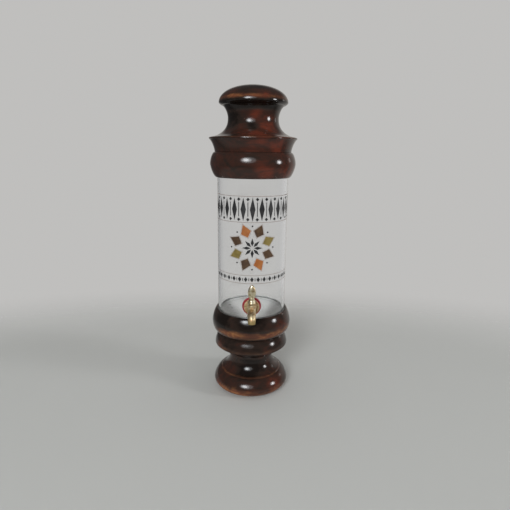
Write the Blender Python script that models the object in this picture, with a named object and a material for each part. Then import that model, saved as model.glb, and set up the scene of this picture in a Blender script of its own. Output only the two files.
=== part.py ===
"""A table decanter: a glass jar between turned wooden ends, a lift-off cap and a small brass tap.

The origin is the centre of the felt under the foot, +Z is up and the tap points towards -Y.
"""
import math

import bmesh
import bpy

MM = 0.001

# General fits and fineness
FIT_GAP = 0.3 * MM
OVERRUN = 2.0 * MM
WELD = 0.002 * MM
WOOD_STEPS = 36
BRASS_STEPS = 20
QUARTER_STEPS = 5
SHARP_ANGLE = math.radians(35)

# Felt under the foot
FELT_INSET = 4.0 * MM
FELT_THICKNESS = 2.0 * MM
FELT_PROUD = 0.6 * MM

# Turned foot: a bead at the floor, a quirk, a cove, and a fillet under the cup
FOOT_RADIUS = 51.0 * MM
FOOT_UNDER_WIDTH = 17.0 * MM
FOOT_BEAD_RISE = 10.2 * MM
FOOT_SHOULDER_RISE = 14.8 * MM
FOOT_SHOULDER_WIDTH = 10.0 * MM
QUIRK_RISE = 1.4 * MM
QUIRK_WIDTH = 1.0 * MM
COVE_RISE = 18.6 * MM
NECK_RADIUS = 28.8 * MM
NECK_RISE = 1.2 * MM
FILLET_WIDTH = 1.8 * MM
FILLET_RISE = 4.4 * MM
FILLET_EDGE = 0.8 * MM
NECK_TOP_RISE = 3.0 * MM
FOOT_UNDER_FLATNESS = 0.9
FOOT_SHOULDER_FLATNESS = 1.35

# Tenon that joins the foot to the cup, and the coach screw through it
TENON_RADIUS = 16.0 * MM
SCREW_RADIUS = 3.0 * MM
SCREW_HEAD_RADIUS = 6.2 * MM
SCREW_HEAD_HEIGHT = 4.0 * MM
SCREW_TIP = 3.0 * MM
COUNTERBORE_TOP = 22.0 * MM
SCREW_WASHER_RADIUS = 9.0 * MM
SCREW_WASHER_THICKNESS = 1.2 * MM

# Turned cup: a lower bead, a deep groove, an upper bead, and the recess for the jar
CUP_UNDER_STEP = 0.7 * MM
CUP_RIM_WALL = 1.5 * MM
UPPER_BEAD_BULGE = 6.0 * MM
UPPER_BEAD_RISE = 15.8 * MM
UPPER_BEAD_TOP_RISE = 16.8 * MM
GROOVE_DEPTH = 11.5 * MM
LOWER_BEAD_BULGE = 8.0 * MM
LOWER_BEAD_RISE = 9.7 * MM
LOWER_BEAD_TOP_RISE = 17.1 * MM
CUP_UNDER_FLATNESS = 1.6
LOWER_BEAD_FLATNESS = 1.3
UPPER_BEAD_FLATNESS = 0.85
RECESS_DEPTH = 11.9 * MM
MORTISE_COVER = 17.7 * MM
SCREW_COVER = 6.2 * MM
GLASS_SLIP = 0.5 * MM

# Pad under the jar
PAD_THICKNESS = 3.0 * MM
PAD_INSET = 0.6 * MM

# Glass jar
GLASS_RADIUS = 45.0 * MM
GLASS_WALL = 3.0 * MM
GLASS_FLOOR = 8.0 * MM
GLASS_HEIGHT = 198.4 * MM
GLASS_FOOT_EDGE = 1.5 * MM
GLASS_INNER_FILLET = 2.5 * MM

# Cap collar: a turned bead that slips down over the mouth of the jar
SKIRT_DEPTH = 16.3 * MM
CAP_SLIP = 0.6 * MM
SKIRT_EDGE = 1.1 * MM
COLLAR_BULGE = 7.2 * MM
COLLAR_RISE = 16.5 * MM
COLLAR_TOP_RISE = 14.4 * MM
SEAM_DEPTH = 5.8 * MM
COLLAR_UNDER_FLATNESS = 1.4
COLLAR_TOP_FLATNESS = 1.3

# Cap knob: a flared flange, a cove and a domed top, glued into the collar by a spigot
SPIGOT_RADIUS = 22.0 * MM
FLANGE_FLARE = 7.0 * MM
FLANGE_RISE = 15.2 * MM
FLANGE_LIP = 1.5 * MM
FLANGE_SHELF_WIDTH = 3.1 * MM
FLANGE_SHELF_RISE = 1.0 * MM
FLANGE_FLATNESS = 1.4
KNOB_NECK_RADIUS = 31.4 * MM
KNOB_COVE_RISE = 22.5 * MM
KNOB_THROAT_FLARE = 7.3 * MM
KNOB_THROAT_RISE = 14.3 * MM
KNOB_THROAT_FLATNESS = 1.25
DOME_LIP_WIDTH = 3.8 * MM
DOME_LIP_RISE = 3.0 * MM
DOME_LIP_FLATNESS = 1.6
DOME_RISE = 20.8 * MM
DOME_FLATNESS = 0.96

# Gasket on the jar's rim, and the plug with its seal inside the mouth
GASKET_THICKNESS = 2.0 * MM
PLUG_SLIP = 1.2 * MM
PLUG_DEPTH = 14.0 * MM
PLUG_BEVEL = 1.2 * MM
SEAL_RADIUS = 1.6 * MM
SEAL_SHARE = 0.45
PLUG_SCREW_COUNT = 3
PLUG_SCREW_CIRCLE = 13.0 * MM
PLUG_SCREW_RADIUS = 2.0 * MM
PLUG_SCREW_LENGTH = 29.0 * MM
PLUG_SCREW_HEAD_RADIUS = 4.0 * MM
PLUG_SCREW_HEAD_HEIGHT = 2.2 * MM
PLUG_SCREW_TIP = 4.0 * MM
SLOT_WIDTH = 1.0 * MM
SLOT_DEPTH = 1.0 * MM

# Tap: height above the cup's rim, and sizes along its barrel
TAP_RISE = 17.1 * MM
SHANK_RADIUS = 4.5 * MM
THREAD_DEPTH = 0.4 * MM
THREAD_PITCH = 1.5 * MM
SHANK_SPARE = 2.2 * MM
OUTER_WASHER_RADIUS = 11.8 * MM
OUTER_WASHER_THICKNESS = 2.7 * MM
INNER_WASHER_RADIUS = 10.0 * MM
INNER_WASHER_THICKNESS = 2.2 * MM
NUT_WASHER_RADIUS = 8.5 * MM
NUT_WASHER_THICKNESS = 1.0 * MM
NUT_RADIUS = 8.0 * MM
NUT_THICKNESS = 4.2 * MM
NUT_BEVEL = 0.8 * MM
TAP_FLANGE_RADIUS = 9.8 * MM
TAP_FLANGE_THICKNESS = 2.4 * MM
TAP_FLANGE_ROUND = 0.8 * MM
TAP_FLANGE_LAND = 1.4 * MM
TAP_FLANGE_DISH = 1.2 * MM
BARREL_RADIUS = 4.0 * MM
BARREL_LENGTH = 15.3 * MM
BARREL_ROOT_RADIUS = 5.6 * MM
BARREL_COLLAR_RADIUS = 5.0 * MM
BARREL_COLLAR_WIDTH = 1.6 * MM
BORE_RADIUS = 1.8 * MM

# Tap housing: an upright taper seat for the key
HOUSING_WALL = 1.5 * MM
HOUSING_RIM_WIDTH = 0.4 * MM
HOUSING_RIM_HEIGHT = 1.8 * MM
HOUSING_FOOT_WALL = 1.2 * MM
HOUSING_TAPER_HEIGHT = 3.0 * MM
HOUSING_RISE = 9.3 * MM
HOUSING_DROP = 9.5 * MM

# Spout: a bent tube from the housing, turned down towards the glass below, with a tapered nose
SPOUT_BORE_RADIUS = 2.5 * MM
SPOUT_WALL = 2.2 * MM
SPOUT_NOSE_WALL = 1.1 * MM
SPOUT_NOSE_EDGE = 0.7 * MM
SPOUT_NECK = 2.1 * MM
SPOUT_BEND_RADIUS = 7.5 * MM
SPOUT_BEND_ANGLE = math.radians(76)
SPOUT_BEND_STEPS = 6
SPOUT_DROP = 4.4 * MM

# Tap key: a tapered plug with a port across it, a boss and a tulip-shaped grip
KEY_TOP_RADIUS = 3.3 * MM
KEY_FOOT_RADIUS = 2.9 * MM
KEY_PORT_RADIUS = 1.6 * MM
BOSS_RADIUS = 4.8 * MM
BOSS_HEIGHT = 6.0 * MM
BOSS_SHOULDER = 0.6 * MM
WAIST_RADIUS = 3.1 * MM
WAIST_HEIGHT = 2.2 * MM
GRIP_HEIGHT = 16.4 * MM
GRIP_WIDTH = 10.0 * MM
GRIP_THICKNESS = 4.8 * MM
GRIP_SIDES = 16
GRIP_SHARES = (
    (0.00, 0.52, 0.86),
    (0.12, 0.72, 0.92),
    (0.26, 0.94, 0.98),
    (0.42, 1.00, 1.00),
    (0.58, 0.98, 0.96),
    (0.74, 0.82, 0.86),
    (0.88, 0.54, 0.68),
    (0.96, 0.28, 0.44),
    (1.00, 0.08, 0.20),
)
KEY_WASHER_RADIUS = 4.2 * MM
KEY_WASHER_THICKNESS = 0.8 * MM
KEY_SCREW_RADIUS = 1.2 * MM
KEY_SCREW_LENGTH = 6.6 * MM
KEY_SCREW_HEAD_RADIUS = 3.0 * MM
KEY_SCREW_HEAD_HEIGHT = 1.8 * MM
KEY_SCREW_HEAD_ROUND = 0.6 * MM

# Radii of the turned pieces, outwards from the jar and the foot
FOOT_REST_RADIUS = FOOT_RADIUS - FOOT_UNDER_WIDTH
FELT_RADIUS = FOOT_REST_RADIUS - FELT_INSET
QUIRK_RADIUS = FOOT_RADIUS - FOOT_SHOULDER_WIDTH
JAR_INNER_RADIUS = GLASS_RADIUS - GLASS_WALL
RECESS_RADIUS = GLASS_RADIUS + GLASS_SLIP
CUP_RIM_RADIUS = RECESS_RADIUS + CUP_RIM_WALL
UPPER_BEAD_RADIUS = CUP_RIM_RADIUS + UPPER_BEAD_BULGE
GROOVE_RADIUS = UPPER_BEAD_RADIUS - GROOVE_DEPTH
LOWER_BEAD_RADIUS = GROOVE_RADIUS + LOWER_BEAD_BULGE
SKIRT_RADIUS = GLASS_RADIUS + CAP_SLIP
COLLAR_RADIUS = SKIRT_RADIUS + SKIRT_EDGE + COLLAR_BULGE
SEAM_RADIUS = COLLAR_RADIUS - SEAM_DEPTH
FLANGE_RADIUS = SEAM_RADIUS + FLANGE_FLARE
KNOB_THROAT_RADIUS = KNOB_NECK_RADIUS + KNOB_THROAT_FLARE
DOME_RADIUS = KNOB_THROAT_RADIUS + DOME_LIP_WIDTH
PLUG_RADIUS = JAR_INNER_RADIUS - PLUG_SLIP

# Levels up the middle of the base
FOOT_BOTTOM = FELT_PROUD
FOOT_BEAD_Z = FOOT_BOTTOM + FOOT_BEAD_RISE
SHOULDER_Z = FOOT_BEAD_Z + FOOT_SHOULDER_RISE
COVE_Z = SHOULDER_Z + QUIRK_RISE
NECK_Z = COVE_Z + COVE_RISE
FILLET_Z = NECK_Z + NECK_RISE
FILLET_TOP_Z = FILLET_Z + FILLET_RISE
FOOT_TOP_Z = FILLET_TOP_Z + NECK_TOP_RISE
SCREW_SEAT_Z = COUNTERBORE_TOP - FIT_GAP - SCREW_WASHER_THICKNESS - FIT_GAP
CUP_BOTTOM = FOOT_TOP_Z + FIT_GAP
LOWER_BEAD_Z = CUP_BOTTOM + LOWER_BEAD_RISE
GROOVE_Z = LOWER_BEAD_Z + LOWER_BEAD_TOP_RISE
UPPER_BEAD_Z = GROOVE_Z + UPPER_BEAD_RISE
CUP_RIM_Z = UPPER_BEAD_Z + UPPER_BEAD_TOP_RISE
RECESS_Z = CUP_RIM_Z - RECESS_DEPTH
PAD_Z = RECESS_Z + FIT_GAP
TENON_TOP_Z = RECESS_Z - MORTISE_COVER - FIT_GAP
SCREW_TIP_Z = RECESS_Z - SCREW_COVER - FIT_GAP

# Levels of the jar and the cap
JAR_Z = PAD_Z + PAD_THICKNESS + FIT_GAP
JAR_FLOOR_Z = JAR_Z + GLASS_FLOOR
JAR_RIM_Z = JAR_Z + GLASS_HEIGHT
GASKET_Z = JAR_RIM_Z + FIT_GAP
LEDGE_Z = GASKET_Z + GASKET_THICKNESS + FIT_GAP
COLLAR_Z = JAR_RIM_Z - SKIRT_DEPTH
COLLAR_BEAD_Z = COLLAR_Z + COLLAR_RISE
COLLAR_TOP_Z = COLLAR_BEAD_Z + COLLAR_TOP_RISE
KNOB_Z = COLLAR_TOP_Z + FIT_GAP
FLANGE_Z = KNOB_Z + FLANGE_RISE
SHELF_Z = FLANGE_Z + FLANGE_LIP + FLANGE_SHELF_RISE
KNOB_NECK_Z = SHELF_Z + KNOB_COVE_RISE
THROAT_Z = KNOB_NECK_Z + KNOB_THROAT_RISE
DOME_Z = THROAT_Z + DOME_LIP_RISE
TOP_Z = DOME_Z + DOME_RISE
PLUG_TOP_Z = LEDGE_Z - FIT_GAP
PLUG_Z = PLUG_TOP_Z - PLUG_DEPTH

# Places along the tap, measured forwards from the jar's axis
TAP_Z = CUP_RIM_Z + TAP_RISE
INNER_WASHER_BACK = JAR_INNER_RADIUS - FIT_GAP - INNER_WASHER_THICKNESS
NUT_WASHER_BACK = INNER_WASHER_BACK - FIT_GAP - NUT_WASHER_THICKNESS
NUT_BACK = NUT_WASHER_BACK - FIT_GAP - NUT_THICKNESS
SHANK_BACK = NUT_BACK - SHANK_SPARE
OUTER_WASHER_FRONT = GLASS_RADIUS + FIT_GAP + OUTER_WASHER_THICKNESS
TAP_FLANGE_BACK = OUTER_WASHER_FRONT + FIT_GAP
TAP_FLANGE_FRONT = TAP_FLANGE_BACK + TAP_FLANGE_THICKNESS
KEY_REACH = TAP_FLANGE_FRONT + BARREL_LENGTH
HOUSING_RADIUS = KEY_TOP_RADIUS + FIT_GAP + HOUSING_WALL
HOUSING_RIM_RADIUS = HOUSING_RADIUS + HOUSING_RIM_WIDTH
HOUSING_FOOT_RADIUS = KEY_FOOT_RADIUS + FIT_GAP + HOUSING_FOOT_WALL
SPOUT_START = KEY_REACH + HOUSING_RADIUS + SPOUT_NECK
SPOUT_RADIUS = SPOUT_BORE_RADIUS + SPOUT_WALL
SPOUT_NOSE_RADIUS = SPOUT_BORE_RADIUS + SPOUT_NOSE_WALL

# Levels of the key, measured upwards from the tap's axis
BOSS_Z = HOUSING_RISE + FIT_GAP
WAIST_Z = BOSS_Z + BOSS_HEIGHT
GRIP_Z = WAIST_Z + WAIST_HEIGHT
KEY_FOOT_Z = FIT_GAP - HOUSING_DROP
KEY_WASHER_TOP = -HOUSING_DROP - FIT_GAP
KEY_SCREW_SEAT = KEY_WASHER_TOP - KEY_WASHER_THICKNESS - FIT_GAP


def clear_scene():
    """Removes whatever the scene holds."""
    for item in list(bpy.data.objects):
        bpy.data.objects.remove(item, do_unlink=True)


def finish(name, color, roughness, metallic=0.0, transmission=0.0):
    """A material with one Principled surface."""
    material = bpy.data.materials.new(name)
    material.use_nodes = True
    surface = material.node_tree.nodes["Principled BSDF"]
    surface.inputs["Base Color"].default_value = (*color, 1.0)
    surface.inputs["Roughness"].default_value = roughness
    surface.inputs["Metallic"].default_value = metallic
    surface.inputs["Transmission Weight"].default_value = transmission
    return material


def quarter(start, end, leaves, flatness=1.0, steps=QUARTER_STEPS):
    """Points (radius, height) from start to end along a quarter of an ellipse.

    The curve leaves start level or upright, and arrives the other way.
    A flatness of 1 is a true ellipse, 2 a straight slope, and less than 1 is fuller.
    """
    points = []
    for step in range(steps + 1):
        angle = math.pi / 2 * step / steps
        sine, cosine = math.sin(angle) ** flatness, max(math.cos(angle), 0.0) ** flatness
        if leaves == "level":
            along, up = sine, 1 - cosine
        else:
            along, up = 1 - cosine, sine
        points.append((start[0] + (end[0] - start[0]) * along, start[1] + (end[1] - start[1]) * up))
    return points


def outline(*stretches):
    """Joins points and curves into one outline, leaving out repeated points."""
    points = []
    for stretch in stretches:
        for point in stretch if isinstance(stretch, list) else [stretch]:
            if not points or math.dist(points[-1], point) > WELD:
                points.append(point)
    return points


def add_object(name, shape, material, place=(0, 0, 0), parent=None):
    """Turns a finished bmesh into a smooth-shaded object."""
    bmesh.ops.recalc_face_normals(shape, faces=shape.faces)
    mesh = bpy.data.meshes.new(name)
    shape.to_mesh(mesh)
    shape.free()
    mesh.shade_smooth()
    mesh.set_sharp_from_angle(angle=SHARP_ANGLE)
    mesh.materials.append(material)
    item = bpy.data.objects.new(name, mesh)
    item.location = place
    item.parent = parent
    bpy.context.scene.collection.objects.link(item)
    return item


def add_axis(name, place, rotation=(0, 0, 0), parent=None):
    """An empty that holds the pieces which share an axis."""
    axis = bpy.data.objects.new(name, None)
    axis.location = place
    axis.rotation_euler = rotation
    axis.parent = parent
    bpy.context.scene.collection.objects.link(axis)
    return axis


def turned(name, points, material, steps=WOOD_STEPS, place=(0, 0, 0), parent=None):
    """Spins an outline of (radius, height) about the upright axis.

    An outline that keeps off the axis is closed into a ring.
    """
    shape = bmesh.new()
    corners = [shape.verts.new((radius, 0, height)) for radius, height in points]
    edges = [shape.edges.new(pair) for pair in zip(corners, corners[1:])]
    if points[0][0] > 0:
        edges.append(shape.edges.new((corners[-1], corners[0])))
    bmesh.ops.spin(shape, geom=corners + edges, cent=(0, 0, 0), axis=(0, 0, 1),
                   angle=math.tau, steps=steps, use_merge=True)
    bmesh.ops.remove_doubles(shape, verts=shape.verts, dist=WELD)
    return add_object(name, shape, material, place, parent)


def lofted(name, rings, material, place=(0, 0, 0), parent=None):
    """Joins rings of equally many points into one skin, and caps both ends."""
    shape = bmesh.new()
    rows = [[shape.verts.new(point) for point in ring] for ring in rings]
    for low, high in zip(rows, rows[1:]):
        for index in range(len(low)):
            after = (index + 1) % len(low)
            shape.faces.new((low[index], low[after], high[after], high[index]))
    shape.faces.new(rows[0])
    shape.faces.new(rows[-1])
    return add_object(name, shape, material, place, parent)


def block(name, size, material, place, parent=None):
    """A plain box about its own centre."""
    shape = bmesh.new()
    bmesh.ops.create_cube(shape, size=1)
    bmesh.ops.scale(shape, vec=size, verts=shape.verts)
    return add_object(name, shape, material, place, parent)


def combine(target, tool, operation):
    """Cuts, joins or trims one piece with a tool that isn't a piece itself."""
    change = target.modifiers.new(tool.name, "BOOLEAN")
    change.operation = operation
    change.solver = "EXACT"
    change.object = tool
    tool.hide_render = True
    tool.display_type = "WIRE"


def disc(low, high, radius, hole=0.0):
    """The outline of a disc, or of a washer when it has a hole."""
    return [(hole, low), (radius, low), (radius, high), (hole, high)]


def make_felt(felt):
    """Felt disc in the foot's underside, standing a little proud of the wood."""
    turned("foot_felt", disc(0, FELT_THICKNESS, FELT_RADIUS), felt)


def make_foot(wood):
    """Turned foot with its tenon, drilled for the coach screw and recessed for the felt."""
    hole = SCREW_RADIUS + FIT_GAP
    counterbore = SCREW_WASHER_RADIUS + FIT_GAP
    felt_recess = FELT_RADIUS + FIT_GAP
    felt_top = FELT_THICKNESS + FIT_GAP
    fillet = NECK_RADIUS + FILLET_WIDTH
    turned("base_foot", outline(
        (hole, TENON_TOP_Z),
        (hole, COUNTERBORE_TOP),
        (counterbore, COUNTERBORE_TOP),
        (counterbore, felt_top),
        (felt_recess, felt_top),
        (felt_recess, FOOT_BOTTOM),
        quarter((FOOT_REST_RADIUS, FOOT_BOTTOM), (FOOT_RADIUS, FOOT_BEAD_Z), "level", FOOT_UNDER_FLATNESS),
        quarter((FOOT_RADIUS, FOOT_BEAD_Z), (QUIRK_RADIUS, SHOULDER_Z), "upright", FOOT_SHOULDER_FLATNESS),
        (QUIRK_RADIUS - QUIRK_WIDTH / 2, COVE_Z),
        quarter((QUIRK_RADIUS - QUIRK_WIDTH, COVE_Z), (NECK_RADIUS, NECK_Z), "level"),
        (NECK_RADIUS, FILLET_Z),
        (fillet - FILLET_EDGE, FILLET_Z),
        (fillet, FILLET_Z + FILLET_EDGE),
        (fillet, FILLET_TOP_Z - FILLET_EDGE),
        (fillet - FILLET_EDGE, FILLET_TOP_Z),
        (NECK_RADIUS, FILLET_TOP_Z),
        (NECK_RADIUS, FOOT_TOP_Z),
        (TENON_RADIUS, FOOT_TOP_Z),
        (TENON_RADIUS, TENON_TOP_Z),
    ), wood)


def make_coach_screw(steel):
    """Hex-headed coach screw and its washer, up through the foot's tenon into the cup."""
    screw = turned("base_screw", [
        (0, SCREW_SEAT_Z - SCREW_HEAD_HEIGHT / 2),
        (SCREW_RADIUS, SCREW_SEAT_Z - SCREW_HEAD_HEIGHT / 2),
        (SCREW_RADIUS, SCREW_TIP_Z - SCREW_TIP),
        (0, SCREW_TIP_Z),
    ], steel, BRASS_STEPS)
    head = turned("base_screw_head", disc(SCREW_SEAT_Z - SCREW_HEAD_HEIGHT, SCREW_SEAT_Z, SCREW_HEAD_RADIUS),
                  steel, steps=6)
    combine(screw, head, "UNION")
    turned("base_screw_washer", disc(
        SCREW_SEAT_Z + FIT_GAP, COUNTERBORE_TOP - FIT_GAP, SCREW_WASHER_RADIUS, SCREW_RADIUS + FIT_GAP,
    ), steel, BRASS_STEPS)


def make_cup(wood):
    """Turned cup: mortise below for the tenon, two beads outside, recess above for the jar."""
    mortise = TENON_RADIUS + FIT_GAP
    pilot = SCREW_RADIUS + FIT_GAP
    groove = (GROOVE_RADIUS, GROOVE_Z)
    turned("base_cup", outline(
        (0, SCREW_TIP_Z + FIT_GAP),
        (pilot, SCREW_TIP_Z + FIT_GAP),
        (pilot, TENON_TOP_Z + FIT_GAP),
        (mortise, TENON_TOP_Z + FIT_GAP),
        (mortise, CUP_BOTTOM),
        quarter((NECK_RADIUS + CUP_UNDER_STEP, CUP_BOTTOM), (LOWER_BEAD_RADIUS, LOWER_BEAD_Z),
                "level", CUP_UNDER_FLATNESS),
        quarter((LOWER_BEAD_RADIUS, LOWER_BEAD_Z), groove, "upright", LOWER_BEAD_FLATNESS),
        quarter(groove, (UPPER_BEAD_RADIUS, UPPER_BEAD_Z), "level", UPPER_BEAD_FLATNESS),
        quarter((UPPER_BEAD_RADIUS, UPPER_BEAD_Z), (CUP_RIM_RADIUS, CUP_RIM_Z), "upright"),
        (RECESS_RADIUS, CUP_RIM_Z),
        (RECESS_RADIUS, RECESS_Z),
        (0, RECESS_Z),
    ), wood)


def make_pad(felt):
    """Pale pad that beds the jar in its recess."""
    turned("glass_pad", disc(PAD_Z, PAD_Z + PAD_THICKNESS, GLASS_RADIUS - PAD_INSET), felt)


def make_jar(glass, forward):
    """Round glass jar with a thick floor, a fire-polished rim and a hole for the tap's shank."""
    rim = GLASS_WALL / 2
    jar = turned("glass_jar", outline(
        (0, JAR_Z),
        (GLASS_RADIUS - GLASS_FOOT_EDGE, JAR_Z),
        (GLASS_RADIUS, JAR_Z + GLASS_FOOT_EDGE),
        quarter((GLASS_RADIUS, JAR_RIM_Z - rim), (GLASS_RADIUS - rim, JAR_RIM_Z), "upright", steps=3),
        quarter((GLASS_RADIUS - rim, JAR_RIM_Z), (JAR_INNER_RADIUS, JAR_RIM_Z - rim), "level", steps=3),
        quarter((JAR_INNER_RADIUS, JAR_FLOOR_Z + GLASS_INNER_FILLET),
                (JAR_INNER_RADIUS - GLASS_INNER_FILLET, JAR_FLOOR_Z), "upright", steps=3),
        (0, JAR_FLOOR_Z),
    ), glass)
    hole = turned("jar_hole", disc(
        JAR_INNER_RADIUS - OVERRUN, GLASS_RADIUS + OVERRUN, SHANK_RADIUS + FIT_GAP,
    ), glass, BRASS_STEPS, parent=forward)
    combine(jar, hole, "DIFFERENCE")


def make_collar(wood):
    """Turned ring of the cap: its skirt slips over the jar and its ledge rests on the gasket."""
    turned("cap_collar", outline(
        (SKIRT_RADIUS, COLLAR_Z),
        quarter((SKIRT_RADIUS + SKIRT_EDGE, COLLAR_Z), (COLLAR_RADIUS, COLLAR_BEAD_Z),
                "level", COLLAR_UNDER_FLATNESS),
        quarter((COLLAR_RADIUS, COLLAR_BEAD_Z), (SEAM_RADIUS, COLLAR_TOP_Z), "upright", COLLAR_TOP_FLATNESS),
        (SPIGOT_RADIUS + FIT_GAP, COLLAR_TOP_Z),
        (SPIGOT_RADIUS + FIT_GAP, LEDGE_Z),
        (SKIRT_RADIUS, LEDGE_Z),
    ), wood)


def screw_places():
    """Centres of the plug's screws, evenly round their circle."""
    turns = [math.tau * index / PLUG_SCREW_COUNT for index in range(PLUG_SCREW_COUNT)]
    return [(PLUG_SCREW_CIRCLE * math.sin(turn), PLUG_SCREW_CIRCLE * math.cos(turn), PLUG_Z)
            for turn in turns]


def make_knob(wood):
    """Turned knob: flared flange, cove and dome, with a spigot glued into the collar."""
    lip = FLANGE_Z + FLANGE_LIP
    shelf = (FLANGE_RADIUS - FLANGE_SHELF_WIDTH, SHELF_Z)
    neck = (KNOB_NECK_RADIUS, KNOB_NECK_Z)
    throat = (KNOB_THROAT_RADIUS, THROAT_Z)
    knob = turned("cap_knob", outline(
        (0, LEDGE_Z),
        (SPIGOT_RADIUS, LEDGE_Z),
        (SPIGOT_RADIUS, KNOB_Z),
        quarter((SEAM_RADIUS, KNOB_Z), (FLANGE_RADIUS, FLANGE_Z), "upright", FLANGE_FLATNESS),
        (FLANGE_RADIUS - FLANGE_LIP / 6, lip),
        quarter(shelf, neck, "level"),
        quarter(neck, throat, "upright", KNOB_THROAT_FLATNESS, steps=4),
        quarter(throat, (DOME_RADIUS, DOME_Z), "level", DOME_LIP_FLATNESS, steps=3),
        quarter((DOME_RADIUS, DOME_Z), (0, TOP_Z), "upright", DOME_FLATNESS, steps=9),
    ), wood)
    for index, place in enumerate(screw_places(), 1):
        pilot = turned(f"knob_pilot_{index}", disc(
            -OVERRUN, PLUG_SCREW_LENGTH + FIT_GAP, PLUG_SCREW_RADIUS + FIT_GAP,
        ), wood, steps=12, place=place)
        combine(knob, pilot, "DIFFERENCE")


def make_gasket(cork):
    """Cork ring in the cap, which rests on the jar's rim."""
    turned("cap_gasket", disc(
        GASKET_Z, GASKET_Z + GASKET_THICKNESS, GLASS_RADIUS, JAR_INNER_RADIUS,
    ), cork)


def make_plug(wood, rubber):
    """Plug disc under the cap, with a rubber ring in a groove round it."""
    seal_z = PLUG_Z + PLUG_DEPTH * SEAL_SHARE
    seal_centre = JAR_INNER_RADIUS - FIT_GAP - SEAL_RADIUS
    half = SEAL_RADIUS + FIT_GAP
    groove = seal_centre - half
    plug = turned("cap_plug", [
        (0, PLUG_Z),
        (PLUG_RADIUS - PLUG_BEVEL, PLUG_Z),
        (PLUG_RADIUS, PLUG_Z + PLUG_BEVEL),
        (PLUG_RADIUS, seal_z - half),
        (groove, seal_z - half),
        (groove, seal_z + half),
        (PLUG_RADIUS, seal_z + half),
        (PLUG_RADIUS, PLUG_TOP_Z),
        (0, PLUG_TOP_Z),
    ], wood)
    for index, place in enumerate(screw_places(), 1):
        hole = turned(f"plug_hole_{index}", [
            (0, -OVERRUN),
            (PLUG_SCREW_HEAD_RADIUS + FIT_GAP, -OVERRUN),
            (PLUG_SCREW_HEAD_RADIUS + FIT_GAP, FIT_GAP),
            (PLUG_SCREW_RADIUS + FIT_GAP, FIT_GAP + PLUG_SCREW_HEAD_HEIGHT),
            (PLUG_SCREW_RADIUS + FIT_GAP, PLUG_DEPTH + OVERRUN),
            (0, PLUG_DEPTH + OVERRUN),
        ], wood, steps=12, place=place)
        combine(plug, hole, "DIFFERENCE")
    sides = 8
    turned("cap_seal", [
        (seal_centre + SEAL_RADIUS * math.cos(math.tau * side / sides),
         seal_z + SEAL_RADIUS * math.sin(math.tau * side / sides))
        for side in range(sides)
    ], rubber)


def make_plug_screws(brass):
    """Countersunk screws that hold the plug up against the knob's spigot."""
    for index, place in enumerate(screw_places(), 1):
        screw = turned(f"plug_screw_{index}", [
            (0, 0),
            (PLUG_SCREW_HEAD_RADIUS, 0),
            (PLUG_SCREW_RADIUS, PLUG_SCREW_HEAD_HEIGHT),
            (PLUG_SCREW_RADIUS, PLUG_SCREW_LENGTH - PLUG_SCREW_TIP),
            (0, PLUG_SCREW_LENGTH),
        ], brass, steps=12, place=place)
        slot = block(f"plug_screw_slot_{index}",
                     (PLUG_SCREW_HEAD_RADIUS * 3, SLOT_WIDTH, SLOT_DEPTH * 2), brass, place)
        combine(screw, slot, "DIFFERENCE")


def make_tap_washers(red_rubber, brass, forward):
    """Red rubber washers shaped to the glass on both sides, and the nut's flat washer."""
    hole = SHANK_RADIUS + FIT_GAP
    outer = turned("tap_washer_outer", disc(JAR_INNER_RADIUS, OUTER_WASHER_FRONT, OUTER_WASHER_RADIUS, hole),
                   red_rubber, BRASS_STEPS, parent=forward)
    wall = turned("jar_outside", disc(JAR_Z, JAR_RIM_Z, GLASS_RADIUS + FIT_GAP), red_rubber)
    combine(outer, wall, "DIFFERENCE")
    inner = turned("tap_washer_inner", disc(INNER_WASHER_BACK, GLASS_RADIUS, INNER_WASHER_RADIUS, hole),
                   red_rubber, BRASS_STEPS, parent=forward)
    room = turned("jar_inside", disc(JAR_Z, JAR_RIM_Z, JAR_INNER_RADIUS - FIT_GAP), red_rubber)
    combine(inner, room, "INTERSECT")
    turned("tap_nut_washer", disc(
        NUT_WASHER_BACK, NUT_WASHER_BACK + NUT_WASHER_THICKNESS, NUT_WASHER_RADIUS, hole,
    ), brass, BRASS_STEPS, parent=forward)


def make_tap_nut(brass, forward):
    """Hex nut on the shank inside the jar."""
    front = NUT_BACK + NUT_THICKNESS
    nut = turned("tap_nut", [
        (0, NUT_BACK),
        (NUT_RADIUS - NUT_BEVEL, NUT_BACK),
        (NUT_RADIUS, NUT_BACK + NUT_BEVEL),
        (NUT_RADIUS, front),
        (0, front),
    ], brass, steps=6, parent=forward)
    hole = turned("nut_hole", disc(NUT_BACK - OVERRUN, front + OVERRUN, SHANK_RADIUS + FIT_GAP),
                  brass, BRASS_STEPS, parent=forward)
    combine(nut, hole, "DIFFERENCE")


def thread_points(start, end):
    """Outline of the thread from start to end, as shallow ridges one pitch apart."""
    points = []
    for turn in range(int((end - start) / THREAD_PITCH)):
        foot = start + turn * THREAD_PITCH
        points += [(SHANK_RADIUS - THREAD_DEPTH, foot), (SHANK_RADIUS, foot + THREAD_PITCH / 2)]
    return points


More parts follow.
